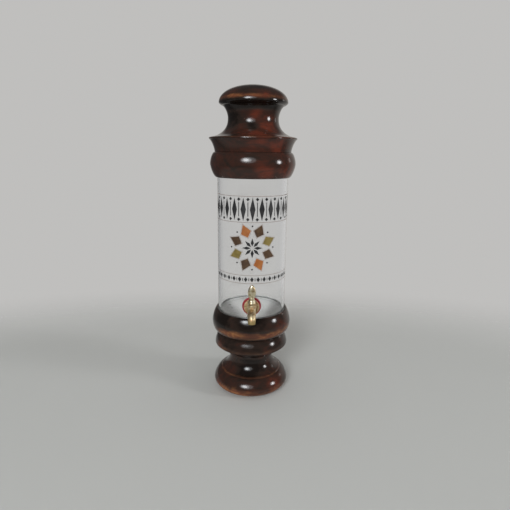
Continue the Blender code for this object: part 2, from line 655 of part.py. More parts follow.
def spout_rings(radius, reach, drop, nose_radius=0.0):
    """Rings round the spout's centre line, which runs forward and bends down in one plane.

    Each ring lies in the tap's frame: x across, y up and z forward from the jar's axis.
    With a nose radius, the last stretch tapers to a nose with a chamfered edge.
    """
    stations = [(0.0, reach, 0.0, radius)]
    for step in range(SPOUT_BEND_STEPS + 1):
        bend = SPOUT_BEND_ANGLE * step / SPOUT_BEND_STEPS
        up = -SPOUT_BEND_RADIUS * (1 - math.cos(bend))
        ahead = SPOUT_START + SPOUT_BEND_RADIUS * math.sin(bend)
        stations.append((up, ahead, bend, radius))
    up, ahead, bend, _ = stations[-1]
    ends = [(drop, radius)]
    if nose_radius:
        ends = [(drop - SPOUT_NOSE_EDGE, nose_radius + SPOUT_NOSE_EDGE), (drop, nose_radius)]
    for length, size in ends:
        stations.append((up - length * math.sin(bend), ahead + length * math.cos(bend), bend, size))
    rings = []
    for up, ahead, bend, size in stations:
        ring = []
        for index in range(BRASS_STEPS):
            angle = math.tau * index / BRASS_STEPS
            across, rise = size * math.cos(angle), size * math.sin(angle)
            ring.append((across, up + rise * math.cos(bend), ahead + rise * math.sin(bend)))
        rings.append(ring)
    return rings


def make_tap_body(brass, forward, upright):
    """Cast tap body: threaded shank, dished flange, barrel, upright housing and bent spout."""
    dish = TAP_FLANGE_FRONT - TAP_FLANGE_DISH
    land = TAP_FLANGE_RADIUS - TAP_FLANGE_ROUND - TAP_FLANGE_LAND
    collar = (TAP_FLANGE_FRONT + KEY_REACH - HOUSING_RADIUS) / 2
    body = turned("tap_body", outline(
        (0, SHANK_BACK),
        thread_points(SHANK_BACK, JAR_INNER_RADIUS),
        (SHANK_RADIUS - THREAD_DEPTH, TAP_FLANGE_BACK),
        (TAP_FLANGE_RADIUS, TAP_FLANGE_BACK),
        quarter((TAP_FLANGE_RADIUS, TAP_FLANGE_FRONT - TAP_FLANGE_ROUND),
                (TAP_FLANGE_RADIUS - TAP_FLANGE_ROUND, TAP_FLANGE_FRONT), "upright", steps=2),
        (land, TAP_FLANGE_FRONT),
        (land - TAP_FLANGE_ROUND, dish),
        (BARREL_ROOT_RADIUS, dish),
        (BARREL_RADIUS, TAP_FLANGE_FRONT),
        (BARREL_RADIUS, collar - BARREL_COLLAR_WIDTH),
        (BARREL_COLLAR_RADIUS, collar - BARREL_COLLAR_WIDTH / 2),
        (BARREL_COLLAR_RADIUS, collar + BARREL_COLLAR_WIDTH / 2),
        (BARREL_RADIUS, collar + BARREL_COLLAR_WIDTH),
        (BARREL_RADIUS, KEY_REACH),
        (0, KEY_REACH),
    ), brass, BRASS_STEPS, parent=forward)
    housing = turned("tap_housing", [
        (0, -HOUSING_DROP),
        (HOUSING_FOOT_RADIUS, -HOUSING_DROP),
        (HOUSING_RADIUS, HOUSING_TAPER_HEIGHT - HOUSING_DROP),
        (HOUSING_RADIUS, HOUSING_RISE - HOUSING_RIM_HEIGHT * 2),
        (HOUSING_RIM_RADIUS, HOUSING_RISE - HOUSING_RIM_HEIGHT),
        (HOUSING_RIM_RADIUS, HOUSING_RISE - FIT_GAP),
        (HOUSING_RIM_RADIUS - FIT_GAP, HOUSING_RISE),
        (0, HOUSING_RISE),
    ], brass, BRASS_STEPS, parent=upright)
    combine(body, housing, "UNION")
    spout = lofted("tap_spout", spout_rings(SPOUT_RADIUS, KEY_REACH, SPOUT_DROP, SPOUT_NOSE_RADIUS),
                   brass, parent=forward)
    combine(body, spout, "UNION")
    seat = turned("key_seat", [
        (0, -HOUSING_DROP - OVERRUN),
        (KEY_FOOT_RADIUS + FIT_GAP, -HOUSING_DROP - OVERRUN),
        (KEY_FOOT_RADIUS + FIT_GAP, -HOUSING_DROP),
        (KEY_TOP_RADIUS + FIT_GAP, HOUSING_RISE),
        (KEY_TOP_RADIUS + FIT_GAP, HOUSING_RISE + OVERRUN),
        (0, HOUSING_RISE + OVERRUN),
    ], brass, BRASS_STEPS, parent=upright)
    combine(body, seat, "DIFFERENCE")
    inlet = turned("tap_inlet", disc(SHANK_BACK - OVERRUN, KEY_REACH, BORE_RADIUS), brass, 12, parent=forward)
    combine(body, inlet, "DIFFERENCE")
    outlet = lofted("tap_outlet", spout_rings(SPOUT_BORE_RADIUS, KEY_REACH, SPOUT_DROP + OVERRUN),
                    brass, parent=forward)
    combine(body, outlet, "DIFFERENCE")


def make_key(brass, upright):
    """Tap key: tapered plug with a port across it, boss, waist and tulip-shaped grip."""
    key = turned("tap_key", [
        (0, KEY_FOOT_Z),
        (KEY_FOOT_RADIUS, KEY_FOOT_Z),
        (KEY_TOP_RADIUS, HOUSING_RISE),
        (KEY_TOP_RADIUS, BOSS_Z),
        (BOSS_RADIUS, BOSS_Z),
        (BOSS_RADIUS, BOSS_Z + BOSS_HEIGHT / 3),
        (BOSS_RADIUS - BOSS_SHOULDER, BOSS_Z + BOSS_HEIGHT * 2 / 3),
        (WAIST_RADIUS, WAIST_Z),
        (WAIST_RADIUS, GRIP_Z),
        (0, GRIP_Z),
    ], brass, BRASS_STEPS, parent=upright)
    rings = []
    for rise_share, width_share, depth_share in GRIP_SHARES:
        rings.append([
            (GRIP_WIDTH / 2 * width_share * math.cos(math.tau * side / GRIP_SIDES),
             GRIP_THICKNESS / 2 * depth_share * math.sin(math.tau * side / GRIP_SIDES),
             GRIP_Z - FIT_GAP + GRIP_HEIGHT * rise_share)
            for side in range(GRIP_SIDES)
        ])
    combine(key, lofted("key_grip", rings, brass, parent=upright), "UNION")
    across = add_axis("port_axis", (0, 0, 0), (0, math.pi / 2, 0), upright)
    port = turned("key_port", disc(-BOSS_RADIUS, BOSS_RADIUS, KEY_PORT_RADIUS), brass, 12, parent=across)
    combine(key, port, "DIFFERENCE")
    tapping = turned("key_tapping", disc(
        KEY_FOOT_Z - OVERRUN, KEY_SCREW_SEAT + KEY_SCREW_LENGTH + FIT_GAP, KEY_SCREW_RADIUS + FIT_GAP,
    ), brass, 12, parent=upright)
    combine(key, tapping, "DIFFERENCE")


def make_key_retainer(brass, upright):
    """Washer and slotted screw that keep the key in its housing."""
    turned("tap_key_washer", disc(
        KEY_WASHER_TOP - KEY_WASHER_THICKNESS, KEY_WASHER_TOP, KEY_WASHER_RADIUS, KEY_SCREW_RADIUS + FIT_GAP,
    ), brass, BRASS_STEPS, parent=upright)
    head_bottom = KEY_SCREW_SEAT - KEY_SCREW_HEAD_HEIGHT
    screw = turned("tap_key_screw", [
        (0, head_bottom),
        (KEY_SCREW_HEAD_RADIUS - KEY_SCREW_HEAD_ROUND, head_bottom),
        (KEY_SCREW_HEAD_RADIUS, head_bottom + KEY_SCREW_HEAD_ROUND),
        (KEY_SCREW_HEAD_RADIUS, KEY_SCREW_SEAT),
        (KEY_SCREW_RADIUS, KEY_SCREW_SEAT),
        (KEY_SCREW_RADIUS, KEY_SCREW_SEAT + KEY_SCREW_LENGTH),
        (0, KEY_SCREW_SEAT + KEY_SCREW_LENGTH),
    ], brass, steps=16, parent=upright)
    slot = block("key_screw_slot", (KEY_SCREW_HEAD_RADIUS * 3, SLOT_WIDTH, SLOT_DEPTH * 2), brass,
                 (0, 0, head_bottom), upright)
    combine(screw, slot, "DIFFERENCE")


def build():
    """Makes every piece, from the felt up."""
    clear_scene()
    wood = finish("stained_wood", (0.075, 0.022, 0.012), 0.22)
    plain_wood = finish("plug_wood", (0.32, 0.19, 0.10), 0.55)
    glass = finish("clear_glass", (0.95, 0.97, 0.96), 0.02, transmission=1.0)
    brass = finish("brass", (0.78, 0.60, 0.30), 0.24, metallic=1.0)
    steel = finish("steel", (0.55, 0.56, 0.58), 0.35, metallic=1.0)
    red_rubber = finish("red_rubber", (0.50, 0.03, 0.03), 0.5)
    black_rubber = finish("black_rubber", (0.03, 0.03, 0.03), 0.6)
    cork = finish("cork", (0.55, 0.38, 0.22), 0.8)
    green_felt = finish("green_felt", (0.05, 0.13, 0.07), 0.95)
    pale_felt = finish("pale_felt", (0.72, 0.72, 0.70), 0.9)

    forward = add_axis("tap_forward", (0, 0, TAP_Z), (math.pi / 2, 0, 0))
    upright = add_axis("tap_key_axis", (0, -KEY_REACH, TAP_Z))

    make_felt(green_felt)
    make_foot(wood)
    make_coach_screw(steel)
    make_cup(wood)
    make_pad(pale_felt)
    make_jar(glass, forward)
    make_collar(wood)
    make_knob(wood)
    make_gasket(cork)
    make_plug(plain_wood, black_rubber)
    make_plug_screws(brass)
    make_tap_washers(red_rubber, brass, forward)
    make_tap_nut(brass, forward)
    make_tap_body(brass, forward, upright)
    make_key(brass, upright)
    make_key_retainer(brass, upright)


build()
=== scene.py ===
"""Looks of a tall glass decanter between turned, dark-stained wooden ends, with a small brass tap.

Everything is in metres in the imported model's frame: +Z is up and the tap points towards -Y.
"""
import functools
import math
import operator

import bpy
import numpy as np
from mathutils import Matrix, Vector


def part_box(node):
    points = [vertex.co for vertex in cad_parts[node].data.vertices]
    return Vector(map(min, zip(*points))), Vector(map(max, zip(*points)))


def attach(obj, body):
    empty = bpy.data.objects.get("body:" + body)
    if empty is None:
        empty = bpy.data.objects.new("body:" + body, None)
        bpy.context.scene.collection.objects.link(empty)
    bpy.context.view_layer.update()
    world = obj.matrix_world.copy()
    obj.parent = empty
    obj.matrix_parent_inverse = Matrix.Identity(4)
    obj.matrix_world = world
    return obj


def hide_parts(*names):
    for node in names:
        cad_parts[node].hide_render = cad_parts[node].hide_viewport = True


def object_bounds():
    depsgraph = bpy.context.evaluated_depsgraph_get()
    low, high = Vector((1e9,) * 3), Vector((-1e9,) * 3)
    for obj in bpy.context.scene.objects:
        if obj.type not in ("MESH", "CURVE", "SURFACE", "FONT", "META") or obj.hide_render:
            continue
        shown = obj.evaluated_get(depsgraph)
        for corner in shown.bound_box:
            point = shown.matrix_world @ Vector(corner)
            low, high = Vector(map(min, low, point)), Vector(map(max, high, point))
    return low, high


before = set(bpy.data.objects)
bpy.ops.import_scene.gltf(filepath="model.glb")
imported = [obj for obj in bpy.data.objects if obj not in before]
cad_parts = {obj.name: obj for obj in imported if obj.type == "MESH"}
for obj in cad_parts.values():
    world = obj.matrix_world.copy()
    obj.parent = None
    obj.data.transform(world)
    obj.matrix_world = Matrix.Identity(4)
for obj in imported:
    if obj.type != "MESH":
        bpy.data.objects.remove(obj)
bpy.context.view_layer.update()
MM = 0.001


# Camera. It stands a little above the decanter's shoulder and looks down at it, from just right
# of the tap, with a slightly wide lens.
EYE = Vector((-4.0, -533.0, 316.8)) * MM
LOOKS_DOWN = math.radians(13.83)
LOOKS_RIGHT = math.radians(0.875)
TILT = math.radians(0.72)

camera = bpy.data.objects.new("camera", bpy.data.cameras.new("camera"))
camera.data.lens = 29.08
camera.data.sensor_width = 36.0
camera.data.clip_start = 10 * MM
camera.matrix_world = (Matrix.Translation(EYE) @ Matrix.Rotation(-LOOKS_RIGHT, 4, "Z")
                       @ Matrix.Rotation(math.pi / 2 - LOOKS_DOWN, 4, "X") @ Matrix.Rotation(TILT, 4, "Z"))
bpy.context.scene.collection.objects.link(camera)
bpy.context.scene.camera = camera
bpy.context.scene.view_settings.view_transform = "Standard"


# Lamps. A window stands to the left behind the camera, bright in its middle and fainter on the
# wall round it, with a narrower one far to the right and a faint one behind that. Each lamp is
# aimed at the decanter's middle.
MIDDLE = sum(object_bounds(), Vector()) / 2
LAMP_DISTANCE = 3.5


def lamp(name, right, up, width, height, glow, colour):
    """An oval lamp seen from the decanter at `right` and `up` degrees from straight ahead.

    It spans width by height degrees there, and its radiance is glow, so its power is
    glow * pi * area.
    """
    side, rise = math.radians(right), math.radians(up)
    towards = Vector((math.sin(side) * math.cos(rise), -math.cos(side) * math.cos(rise), math.sin(rise)))
    light = bpy.data.lights.new(name, "AREA")
    light.shape = "ELLIPSE"
    light.size = 2 * LAMP_DISTANCE * math.tan(math.radians(width) / 2)
    light.size_y = 2 * LAMP_DISTANCE * math.tan(math.radians(height) / 2)
    light.energy = glow * math.pi * (math.pi / 4 * light.size * light.size_y)
    light.color = colour
    item = bpy.data.objects.new(name, light)
    item.location = MIDDLE + towards * LAMP_DISTANCE
    item.rotation_euler = towards.to_track_quat("Z", "Y").to_euler()
    item.visible_camera = False
    item.visible_transmission = False
    bpy.context.scene.collection.objects.link(item)


lamp("window", -19, 25, 14, 12, 17.0, (0.93, 0.97, 1.0))
lamp("window_panes", -18, 25, 25, 19, 8.0, (0.93, 0.97, 1.0))
lamp("window_wall", -13, 25, 39, 27, 2.6, (0.96, 0.98, 1.0))
lamp("side_window", 73, 13, 9, 10, 31.0, (0.97, 0.98, 1.0))
lamp("side_wall", 73, 13, 16, 16, 7.0, (0.97, 0.98, 1.0))
lamp("far_window", 116, 13, 8, 11, 1.6, (1.0, 0.98, 0.95))


# World. The camera sees a pale off-white room, and the glass sees it darker on the left and paler
# on the right. Daylight is even, polished surfaces mirror a dim room with a pale wall low behind
# the decanter, and the felt is lit through the glass, where the lamps don't reach.
BACKDROP = (0.525, 0.52, 0.51)
BACKDROP_LEFT = (0.43, 0.43, 0.435)
BACKDROP_RIGHT = (0.60, 0.60, 0.605)
DAYLIGHT = (0.42, 0.42, 0.415)
MIRRORED_ROOM = (0.09, 0.09, 0.092)
MIRRORED_WALL = (0.55, 0.53, 0.50)
WALL_TOWARDS = (0.42, 0.91)
WALL_EDGE = (0.55, 0.88)
WALL_TOP = (0.62, 0.30)
LEFT_SIDE = (-0.70, -0.05)
RIGHT_SIDE = (0.05, 0.5)
THROUGH_GLASS = (3.1, 3.1, 3.08)


class Wire:
    """An output socket that can be used in sums, each of which adds a Math node."""

    def __init__(self, finish, socket):
        self.finish, self.socket = finish, socket

    def output(self, name):
        """Another output of the same node."""
        return Wire(self.finish, self.socket.node.outputs[name])

    def maths(self, operation, *values):
        """A Math node on some values or wires."""
        return self.finish.node("Math", {"operation": operation}, dict(enumerate(values)))

    def __add__(self, other):
        return self.maths("ADD", self, other)

    def __sub__(self, other):
        return self.maths("SUBTRACT", self, other)

    def __rsub__(self, other):
        return self.maths("SUBTRACT", other, self)

    def __mul__(self, other):
        return self.maths("MULTIPLY", self, other)

    def __pow__(self, other):
        return self.maths("POWER", self, other)

    def __or__(self, other):
        return self.maths("MAXIMUM", self, other)

    def __abs__(self):
        return self.maths("ABSOLUTE", self)

    def sine(self):
        return self.maths("SINE", self)

    __radd__, __rmul__ = __add__, __mul__


class Finish:
    """The nodes of a material or of the world, which end in one surface or background."""

    def __init__(self, owner, **sockets):
        owner.use_nodes = True
        self.owner, self.tree = owner, owner.node_tree
        self.end = next(node for node in self.tree.nodes if node.type in ("BSDF_PRINCIPLED", "BACKGROUND"))
        self.set(**sockets)

    def feed(self, socket, value):
        """Gives one socket its value or wire."""
        if isinstance(value, Wire):
            self.tree.links.new(value.socket, socket)
        else:
            socket.default_value = value

    def set(self, **sockets):
        """Gives the end node's sockets their values or wires, named with _ for a space."""
        for name, value in sockets.items():
            self.feed(self.end.inputs[name.replace("_", " ")], value)

    def node(self, kind, settings=None, inputs=None, output=0):
        """Adds one node: first its settings or stops, then the values or wires of its inputs."""
        node = self.tree.nodes.new("ShaderNode" + kind)
        for name, value in (settings or {}).items():
            if name == "stops":
                ramp = node.color_ramp.elements
                for place, colour in value[2:]:
                    ramp.new(place)
                for stop, (place, colour) in zip(ramp, sorted(value)):
                    stop.position, stop.color = place, (*colour, 1.0)
            else:
                setattr(node, name, value)
        for name, value in (inputs or {}).items():
            self.feed(node.inputs[name], value)
        return Wire(self, node.outputs[output])

    def coords(self, kind="Object"):
        """Places on the piece, or directions into the room."""
        return self.node("TexCoord", output=kind)

    def scaled(self, x, y, z):
        """Object coordinates, divided by a pattern's lengths along each axis."""
        return self.node("Mapping", {}, {"Vector": self.coords(), "Scale": (1 / x, 1 / y, 1 / z)})

    def split(self, vector):
        """The three parts of a vector, x, y and z."""
        parts = self.node("SeparateXYZ", {}, {0: vector})
        return [parts.output(axis) for axis in "XYZ"]

    def distance(self, place, middle):
        """How far place is from middle."""
        return self.node("VectorMath", {"operation": "DISTANCE"}, {0: place, 1: middle}, "Value")

    def noise(self, place, scale, detail, roughness, distortion=0.0):
        """Soft irregular clouds from 0 to 1, scale to each unit of place."""
        return self.node("TexNoise", {}, {"Vector": place, "Scale": scale, "Detail": detail,
                                          "Roughness": roughness, "Distortion": distortion})

    def ease(self, value, low, high):
        """0 below low, 1 above high and a smooth S between; low may be the larger."""
        return self.node("MapRange", {"interpolation_type": "SMOOTHSTEP"},
                         {"Value": value, "From Min": low, "From Max": high})

    def mix(self, share, first, second):
        """The colour that goes from first to second as share goes from 0 to 1."""
        first, second = [value if isinstance(value, Wire) else (*value, 1.0) for value in (first, second)]
        return self.node("Mix", {"data_type": "RGBA"}, {0: share, 6: first, 7: second}, 2)

    def bump(self, height, depth, strength=1.0):
        """A normal that is tilted as if height, from 0 to 1, stood up to depth proud."""
        return self.node("Bump", {}, {"Height": height, "Distance": depth, "Strength": strength})


room = Finish(bpy.context.scene.world or bpy.data.worlds.new("room"))
bpy.context.scene.world = room.owner
path = room.node("LightPath", output="Is Camera Ray")
x, y, z = room.split(room.coords("Generated"))
wall = room.ease(x * WALL_TOWARDS[0] + y * WALL_TOWARDS[1], *WALL_EDGE) * room.ease(z, *WALL_TOP)
mirrored = room.mix(wall, MIRRORED_ROOM, MIRRORED_WALL)
lit = room.mix(path.output("Is Glossy Ray"), DAYLIGHT, mirrored)
right = room.mix(room.ease(x, *RIGHT_SIDE), BACKDROP, BACKDROP_RIGHT)
backdrop = room.mix(room.ease(x, *LEFT_SIDE), BACKDROP_LEFT, right)
through = room.mix(room.ease(path.output("Diffuse Depth"), 0.2, 0.8), backdrop, THROUGH_GLASS)
lit = room.mix(path.output("Is Transmission Ray"), lit, through)
room.set(Color=room.mix(path, lit, BACKDROP), Strength=1.0)


# Floor. A plain pale matt sheet, warm grey, that lies under the decanter's felt and fades into
# the room behind it.
FLOOR_RADIUS = 1100 * MM
FLOOR_COLOUR = (0.51, 0.51, 0.49, 1)
FADE_MIDDLE = (0, -120 * MM, 0)
FADE_WIDTH = 1.8
FADE_START = 270 * MM
FADE_END = 560 * MM


def turns(count):
    """Even steps round a full turn, from 0."""
    return np.linspace(0, math.tau, count, endpoint=False)


turn = turns(128)
sheet = bpy.data.meshes.new("floor")
sheet.from_pydata((np.stack([np.cos(turn), np.sin(turn), 0 * turn], axis=1) * FLOOR_RADIUS).tolist(), [],
                  [list(range(len(turn)))])
floor = bpy.data.objects.new("floor", sheet)
bpy.context.scene.collection.objects.link(floor)
plain = Finish(bpy.data.materials.new("plain_floor"), Roughness=1.0, Specular_IOR_Level=0.0)
across = plain.distance(plain.scaled(FADE_WIDTH, 1, 1), FADE_MIDDLE)
plain.set(Base_Color=FLOOR_COLOUR, Alpha=plain.ease(across, FADE_END, FADE_START))
floor.data.materials.append(plain.owner)


# Felt disc. A round of green pressed wool, slightly hairy, that is glued into the underside of
# the foot and carries the decanter. Like every turned piece it is an outline of (radius, height),
# sanded so that its corners are soft, and carried round the upright axis on a grid of rings.
felt_low, felt_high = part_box("foot_felt")
FINEST = 0.12 * MM
BEND = 6.0


def sanded(*stretches, soft=0.45 * MM, ring=False, length=1.6 * MM):
    """Joins points and curves into one outline and softens its corners.

    The outline is sampled evenly and blurred along its run with a Gaussian of width soft. A ring
    wraps round on itself, and any other outline runs on as its mirror image across the axis, so
    that its ends stay on the axis. Of the fine points, those are kept that lie `length` of run
    or BEND degrees of turn apart.
    """
    line = np.vstack([np.atleast_2d(stretch) for stretch in stretches])
    line = np.vstack([line, line[:1]]) if ring else line
    run = np.append(0, np.cumsum(np.hypot(*np.diff(line, axis=0).T)))
    fine = np.linspace(0, run[-1], int(run[-1] / FINEST))
    fine = np.stack([np.interp(fine, run, line[:, axis]) for axis in (0, 1)], axis=1)
    reach = int(4 * soft / FINEST)
    if ring:
        fine = np.vstack([fine[-reach - 1:-1], fine[:-1], fine[:reach]])
    else:
        fine = np.vstack([fine[reach:0:-1] * (-1, 1), fine, fine[-2:-reach - 2:-1] * (-1, 1)])
    weights = np.exp(-0.5 * (np.arange(-reach, reach + 1) * FINEST / soft) ** 2)
    weights /= weights.sum()
    soft_line = np.stack([np.convolve(fine[:, axis], weights, "valid") for axis in (0, 1)], axis=1)
    step = np.diff(np.vstack([soft_line, soft_line[:1]]) if ring else soft_line, axis=0)
    heading = np.unwrap(np.arctan2(step[:, 1], step[:, 0]))
    turned = np.append(0, np.abs(np.diff(heading)))
    need = np.append(0, np.cumsum(np.hypot(*step.T) / length + np.degrees(turned) / BEND))[:len(soft_line)]
    kept = np.searchsorted(need, np.linspace(0, need[-1], math.ceil(need[-1]) + 1)[:-1 if ring else None])
    return soft_line[np.unique(kept.clip(0, len(soft_line) - 1))]


def lathe(line, sides=192):
    """A grid of rings: (radius, height) at turn a becomes (radius cos a, radius sin a, height)."""
    turn = turns(sides)
    radius, height = line.T[..., None]
    return np.stack([radius * np.cos(turn), radius * np.sin(turn), height + 0 * turn], axis=2)


def skin(name, grid, ring=False):
    """A closed, smooth mesh object over a grid of rings.

    Each ring joins the next. In a ring of rings the last also joins the first, and otherwise
    both ends are closed by a fan to their middle. The faces are turned to point outwards, which
    is where the volume under them, a sixth of the sum of a . (b x c), is positive.
    """
    poles = grid[[0, -1]].mean(axis=1)
    if not ring:
        flat = np.ptp(grid, axis=1).max(axis=1) < 1e-7
        grid = grid[1 if flat[0] else 0:len(grid) - 1 if flat[-1] else len(grid)]
    rows, sides = grid.shape[:2]
    points = np.vstack([grid.reshape(-1, 3), poles])
    index = np.arange(rows * sides).reshape(rows, sides)
    low = index if ring else index[:-1]
    high = np.roll(index, -1, axis=0) if ring else index[1:]
    quads = np.stack([low, np.roll(low, -1, 1), np.roll(high, -1, 1), high], axis=2).reshape(-1, 4)
    fans = np.zeros((0, 3), int)
    if not ring:
        first, last = rows * sides, rows * sides + 1
        fans = np.vstack([np.stack([np.roll(index[0], -1), index[0], np.full(sides, first)], axis=1),
                          np.stack([index[-1], np.roll(index[-1], -1), np.full(sides, last)], axis=1)])
    corners = points[np.vstack([quads[:, :3], quads[:, [0, 2, 3]], fans])]
    if np.einsum("ij,ij->", corners[:, 0], np.cross(corners[:, 1], corners[:, 2])) < 0:
        quads, fans = quads[:, ::-1], fans[:, ::-1]
    mesh = bpy.data.meshes.new(name)
    mesh.from_pydata((points[:-2] if ring else points).tolist(), [], quads.tolist() + fans.tolist())
    mesh.shade_smooth()
    item = bpy.data.objects.new(name, mesh)
    bpy.context.scene.collection.objects.link(item)
    return item


def fit(piece, finish, body, slot, *nodes):
    """Gives a piece its finish and its body, and hides the CAD nodes that it stands for. Its slot is not
    used.
    """
    piece.data.materials.clear()
    piece.data.materials.append(finish)
    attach(piece, body)
    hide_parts(*nodes)
    return piece


# Painted shade for the pale felt's sides under the glass, and how it spreads.
PAINTED_SIDE_SHADE = (0.08, 0.075, 0.068)
SIDE_SHADE_LEAN = 0.4
SIDE_SHADE_START = 12 * MM
SIDE_SHADE_END = 34 * MM
SIDE_SHADE_RAGGED = 10 * MM
CRUMB = (0.012, 0.011, 0.010)


def felted(name, colour, pale, stain=0.0, crumbs=()):
    """Matted wool: two close colours in soft clouds, under a fine tangle of hairs.

    Painted shade darkens it by the share stain towards both sides of the decanter, as
    |x| - SIDE_SHADE_LEAN y goes from SIDE_SHADE_START to SIDE_SHADE_END, for the shade
    that shows there through the glass. Each crumb is a small dark (middle, radius).
    """
    wool = Finish(bpy.data.materials.new(name), Roughness=0.95, Specular_IOR_Level=0.2)
    cloud = wool.noise(wool.coords(), 90, 4, 0.6)
    hairs = wool.noise(wool.coords(), 1400, 3, 0.7, 1.5)
    tone = wool.mix(wool.ease(cloud * 0.5 + hairs * 0.5, 0.35, 0.65), colour, pale)
    # Painted shade towards both sides of the glass's floor.
    if stain:
        x, y, z = wool.split(wool.coords())
        side = abs(x) - y * SIDE_SHADE_LEAN + (cloud - 0.5) * SIDE_SHADE_RAGGED
        tone = wool.mix(wool.ease(side, SIDE_SHADE_START, SIDE_SHADE_END) * stain, tone, PAINTED_SIDE_SHADE)
    for middle, radius in crumbs:
        away = wool.distance(wool.coords(), middle) + (cloud - 0.5) * radius
        tone = wool.mix(wool.ease(away, radius, radius * 0.6), tone, CRUMB)
    wool.set(Base_Color=tone, Normal=wool.bump(hairs, 0.25 * MM))
    return wool.owner


felt = skin("foot_felt_disc", lathe(sanded(
    (0, felt_low.z), (felt_high.x, felt_low.z), (felt_high.x, felt_high.z), (0, felt_high.z), soft=0.3 * MM)))
fit(felt, felted("green_wool", (0.03, 0.09, 0.045), (0.07, 0.17, 0.09)), "stand", "green_felt", "foot_felt")


# Foot. Turned from one block of wood: a fat bead on the floor, a quirk, a hollow cove, and a
# fillet under the cup, all stained nearly black and lacquered, with orange wood rubbed bare.
foot_low, foot_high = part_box("base_foot")
FOOT_RADIUS = foot_high.x
FOOT_REST_RADIUS = 34.0 * MM
FOOT_BEAD_Z = foot_low.z + 10.2 * MM
SHOULDER_Z = FOOT_BEAD_Z + 14.8 * MM
QUIRK_RADIUS = 41.0 * MM
QUIRK_WIDTH = 1.0 * MM
COVE_Z = SHOULDER_Z + 1.4 * MM
NECK_RADIUS = 28.8 * MM
NECK_Z = COVE_Z + 18.6 * MM
FILLET_RADIUS = NECK_RADIUS + 1.8 * MM
FILLET_Z = NECK_Z + 1.2 * MM
FILLET_TOP_Z = FILLET_Z + 4.4 * MM
FIT = 0.3 * MM
FOOT_TOP_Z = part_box("base_cup")[0].z - FIT
TENON_RADIUS = 16.0 * MM
SCREW_HOLE = 3.3 * MM
COUNTERBORE = 9.3 * MM
COUNTERBORE_TOP = 22.0 * MM
FELT_RECESS = felt_high.x + FIT
FELT_RECESS_Z = felt_high.z + FIT
QUARTER_POINTS = 33


def quarter(start, end, leaves, flatness=1.0, upward=None):
    """Points (radius, height) from start to end on a quarter of a superellipse.

    The turn t runs over a quarter turn. A curve that leaves level is sin(t) ** flatness of the
    way across and 1 - cos(t) ** upward of the way up, and one that leaves upright is
    1 - cos(t) ** flatness across and sin(t) ** upward up; upward is flatness unless it is given.
    """
    turn = np.linspace(0, math.pi / 2, QUARTER_POINTS)
    sine, cosine = np.sin(turn), np.cos(turn).clip(0)
    rise = flatness if upward is None else upward
    shares = ((sine ** flatness, 1 - cosine ** rise) if leaves == "level"
              else (1 - cosine ** flatness, sine ** rise))
    return np.array(start) + (np.array(end) - start) * np.stack(shares, axis=1)


foot = skin("foot", lathe(sanded(
    (SCREW_HOLE, foot_high.z),
    (SCREW_HOLE, COUNTERBORE_TOP),
    (COUNTERBORE, COUNTERBORE_TOP),
    (COUNTERBORE, FELT_RECESS_Z),
    (FELT_RECESS, FELT_RECESS_Z),
    (FELT_RECESS, foot_low.z),
    quarter((FOOT_REST_RADIUS, foot_low.z), (FOOT_RADIUS, FOOT_BEAD_Z), "level", 0.9),
    quarter((FOOT_RADIUS, FOOT_BEAD_Z), (QUIRK_RADIUS, SHOULDER_Z), "upright", 1.35),
    quarter((QUIRK_RADIUS - QUIRK_WIDTH, COVE_Z), (NECK_RADIUS, NECK_Z), "level", 1.5, 1.0),
    (NECK_RADIUS, FILLET_Z),
    (FILLET_RADIUS, FILLET_Z),
    (FILLET_RADIUS, FILLET_TOP_Z),
    (NECK_RADIUS, FILLET_TOP_Z),
    (NECK_RADIUS, FOOT_TOP_Z),
    (TENON_RADIUS, FOOT_TOP_Z),
    (TENON_RADIUS, foot_high.z),
    ring=True)), ring=True)

RING_WIDTH = 6.4 * MM
RING_WANDER = 14 * MM
SPOT_WANDER = 12 * MM
FEATHER = 6 * MM
NIGHT = (0.0085, 0.0058, 0.0046)
SOOT = (0.0220, 0.0140, 0.0108)
UMBER = (0.0420, 0.0162, 0.0112)
RUSSET = (0.0960, 0.0225, 0.0125)
BRICK = (0.150, 0.046, 0.022)
AMBER = (0.300, 0.130, 0.045)


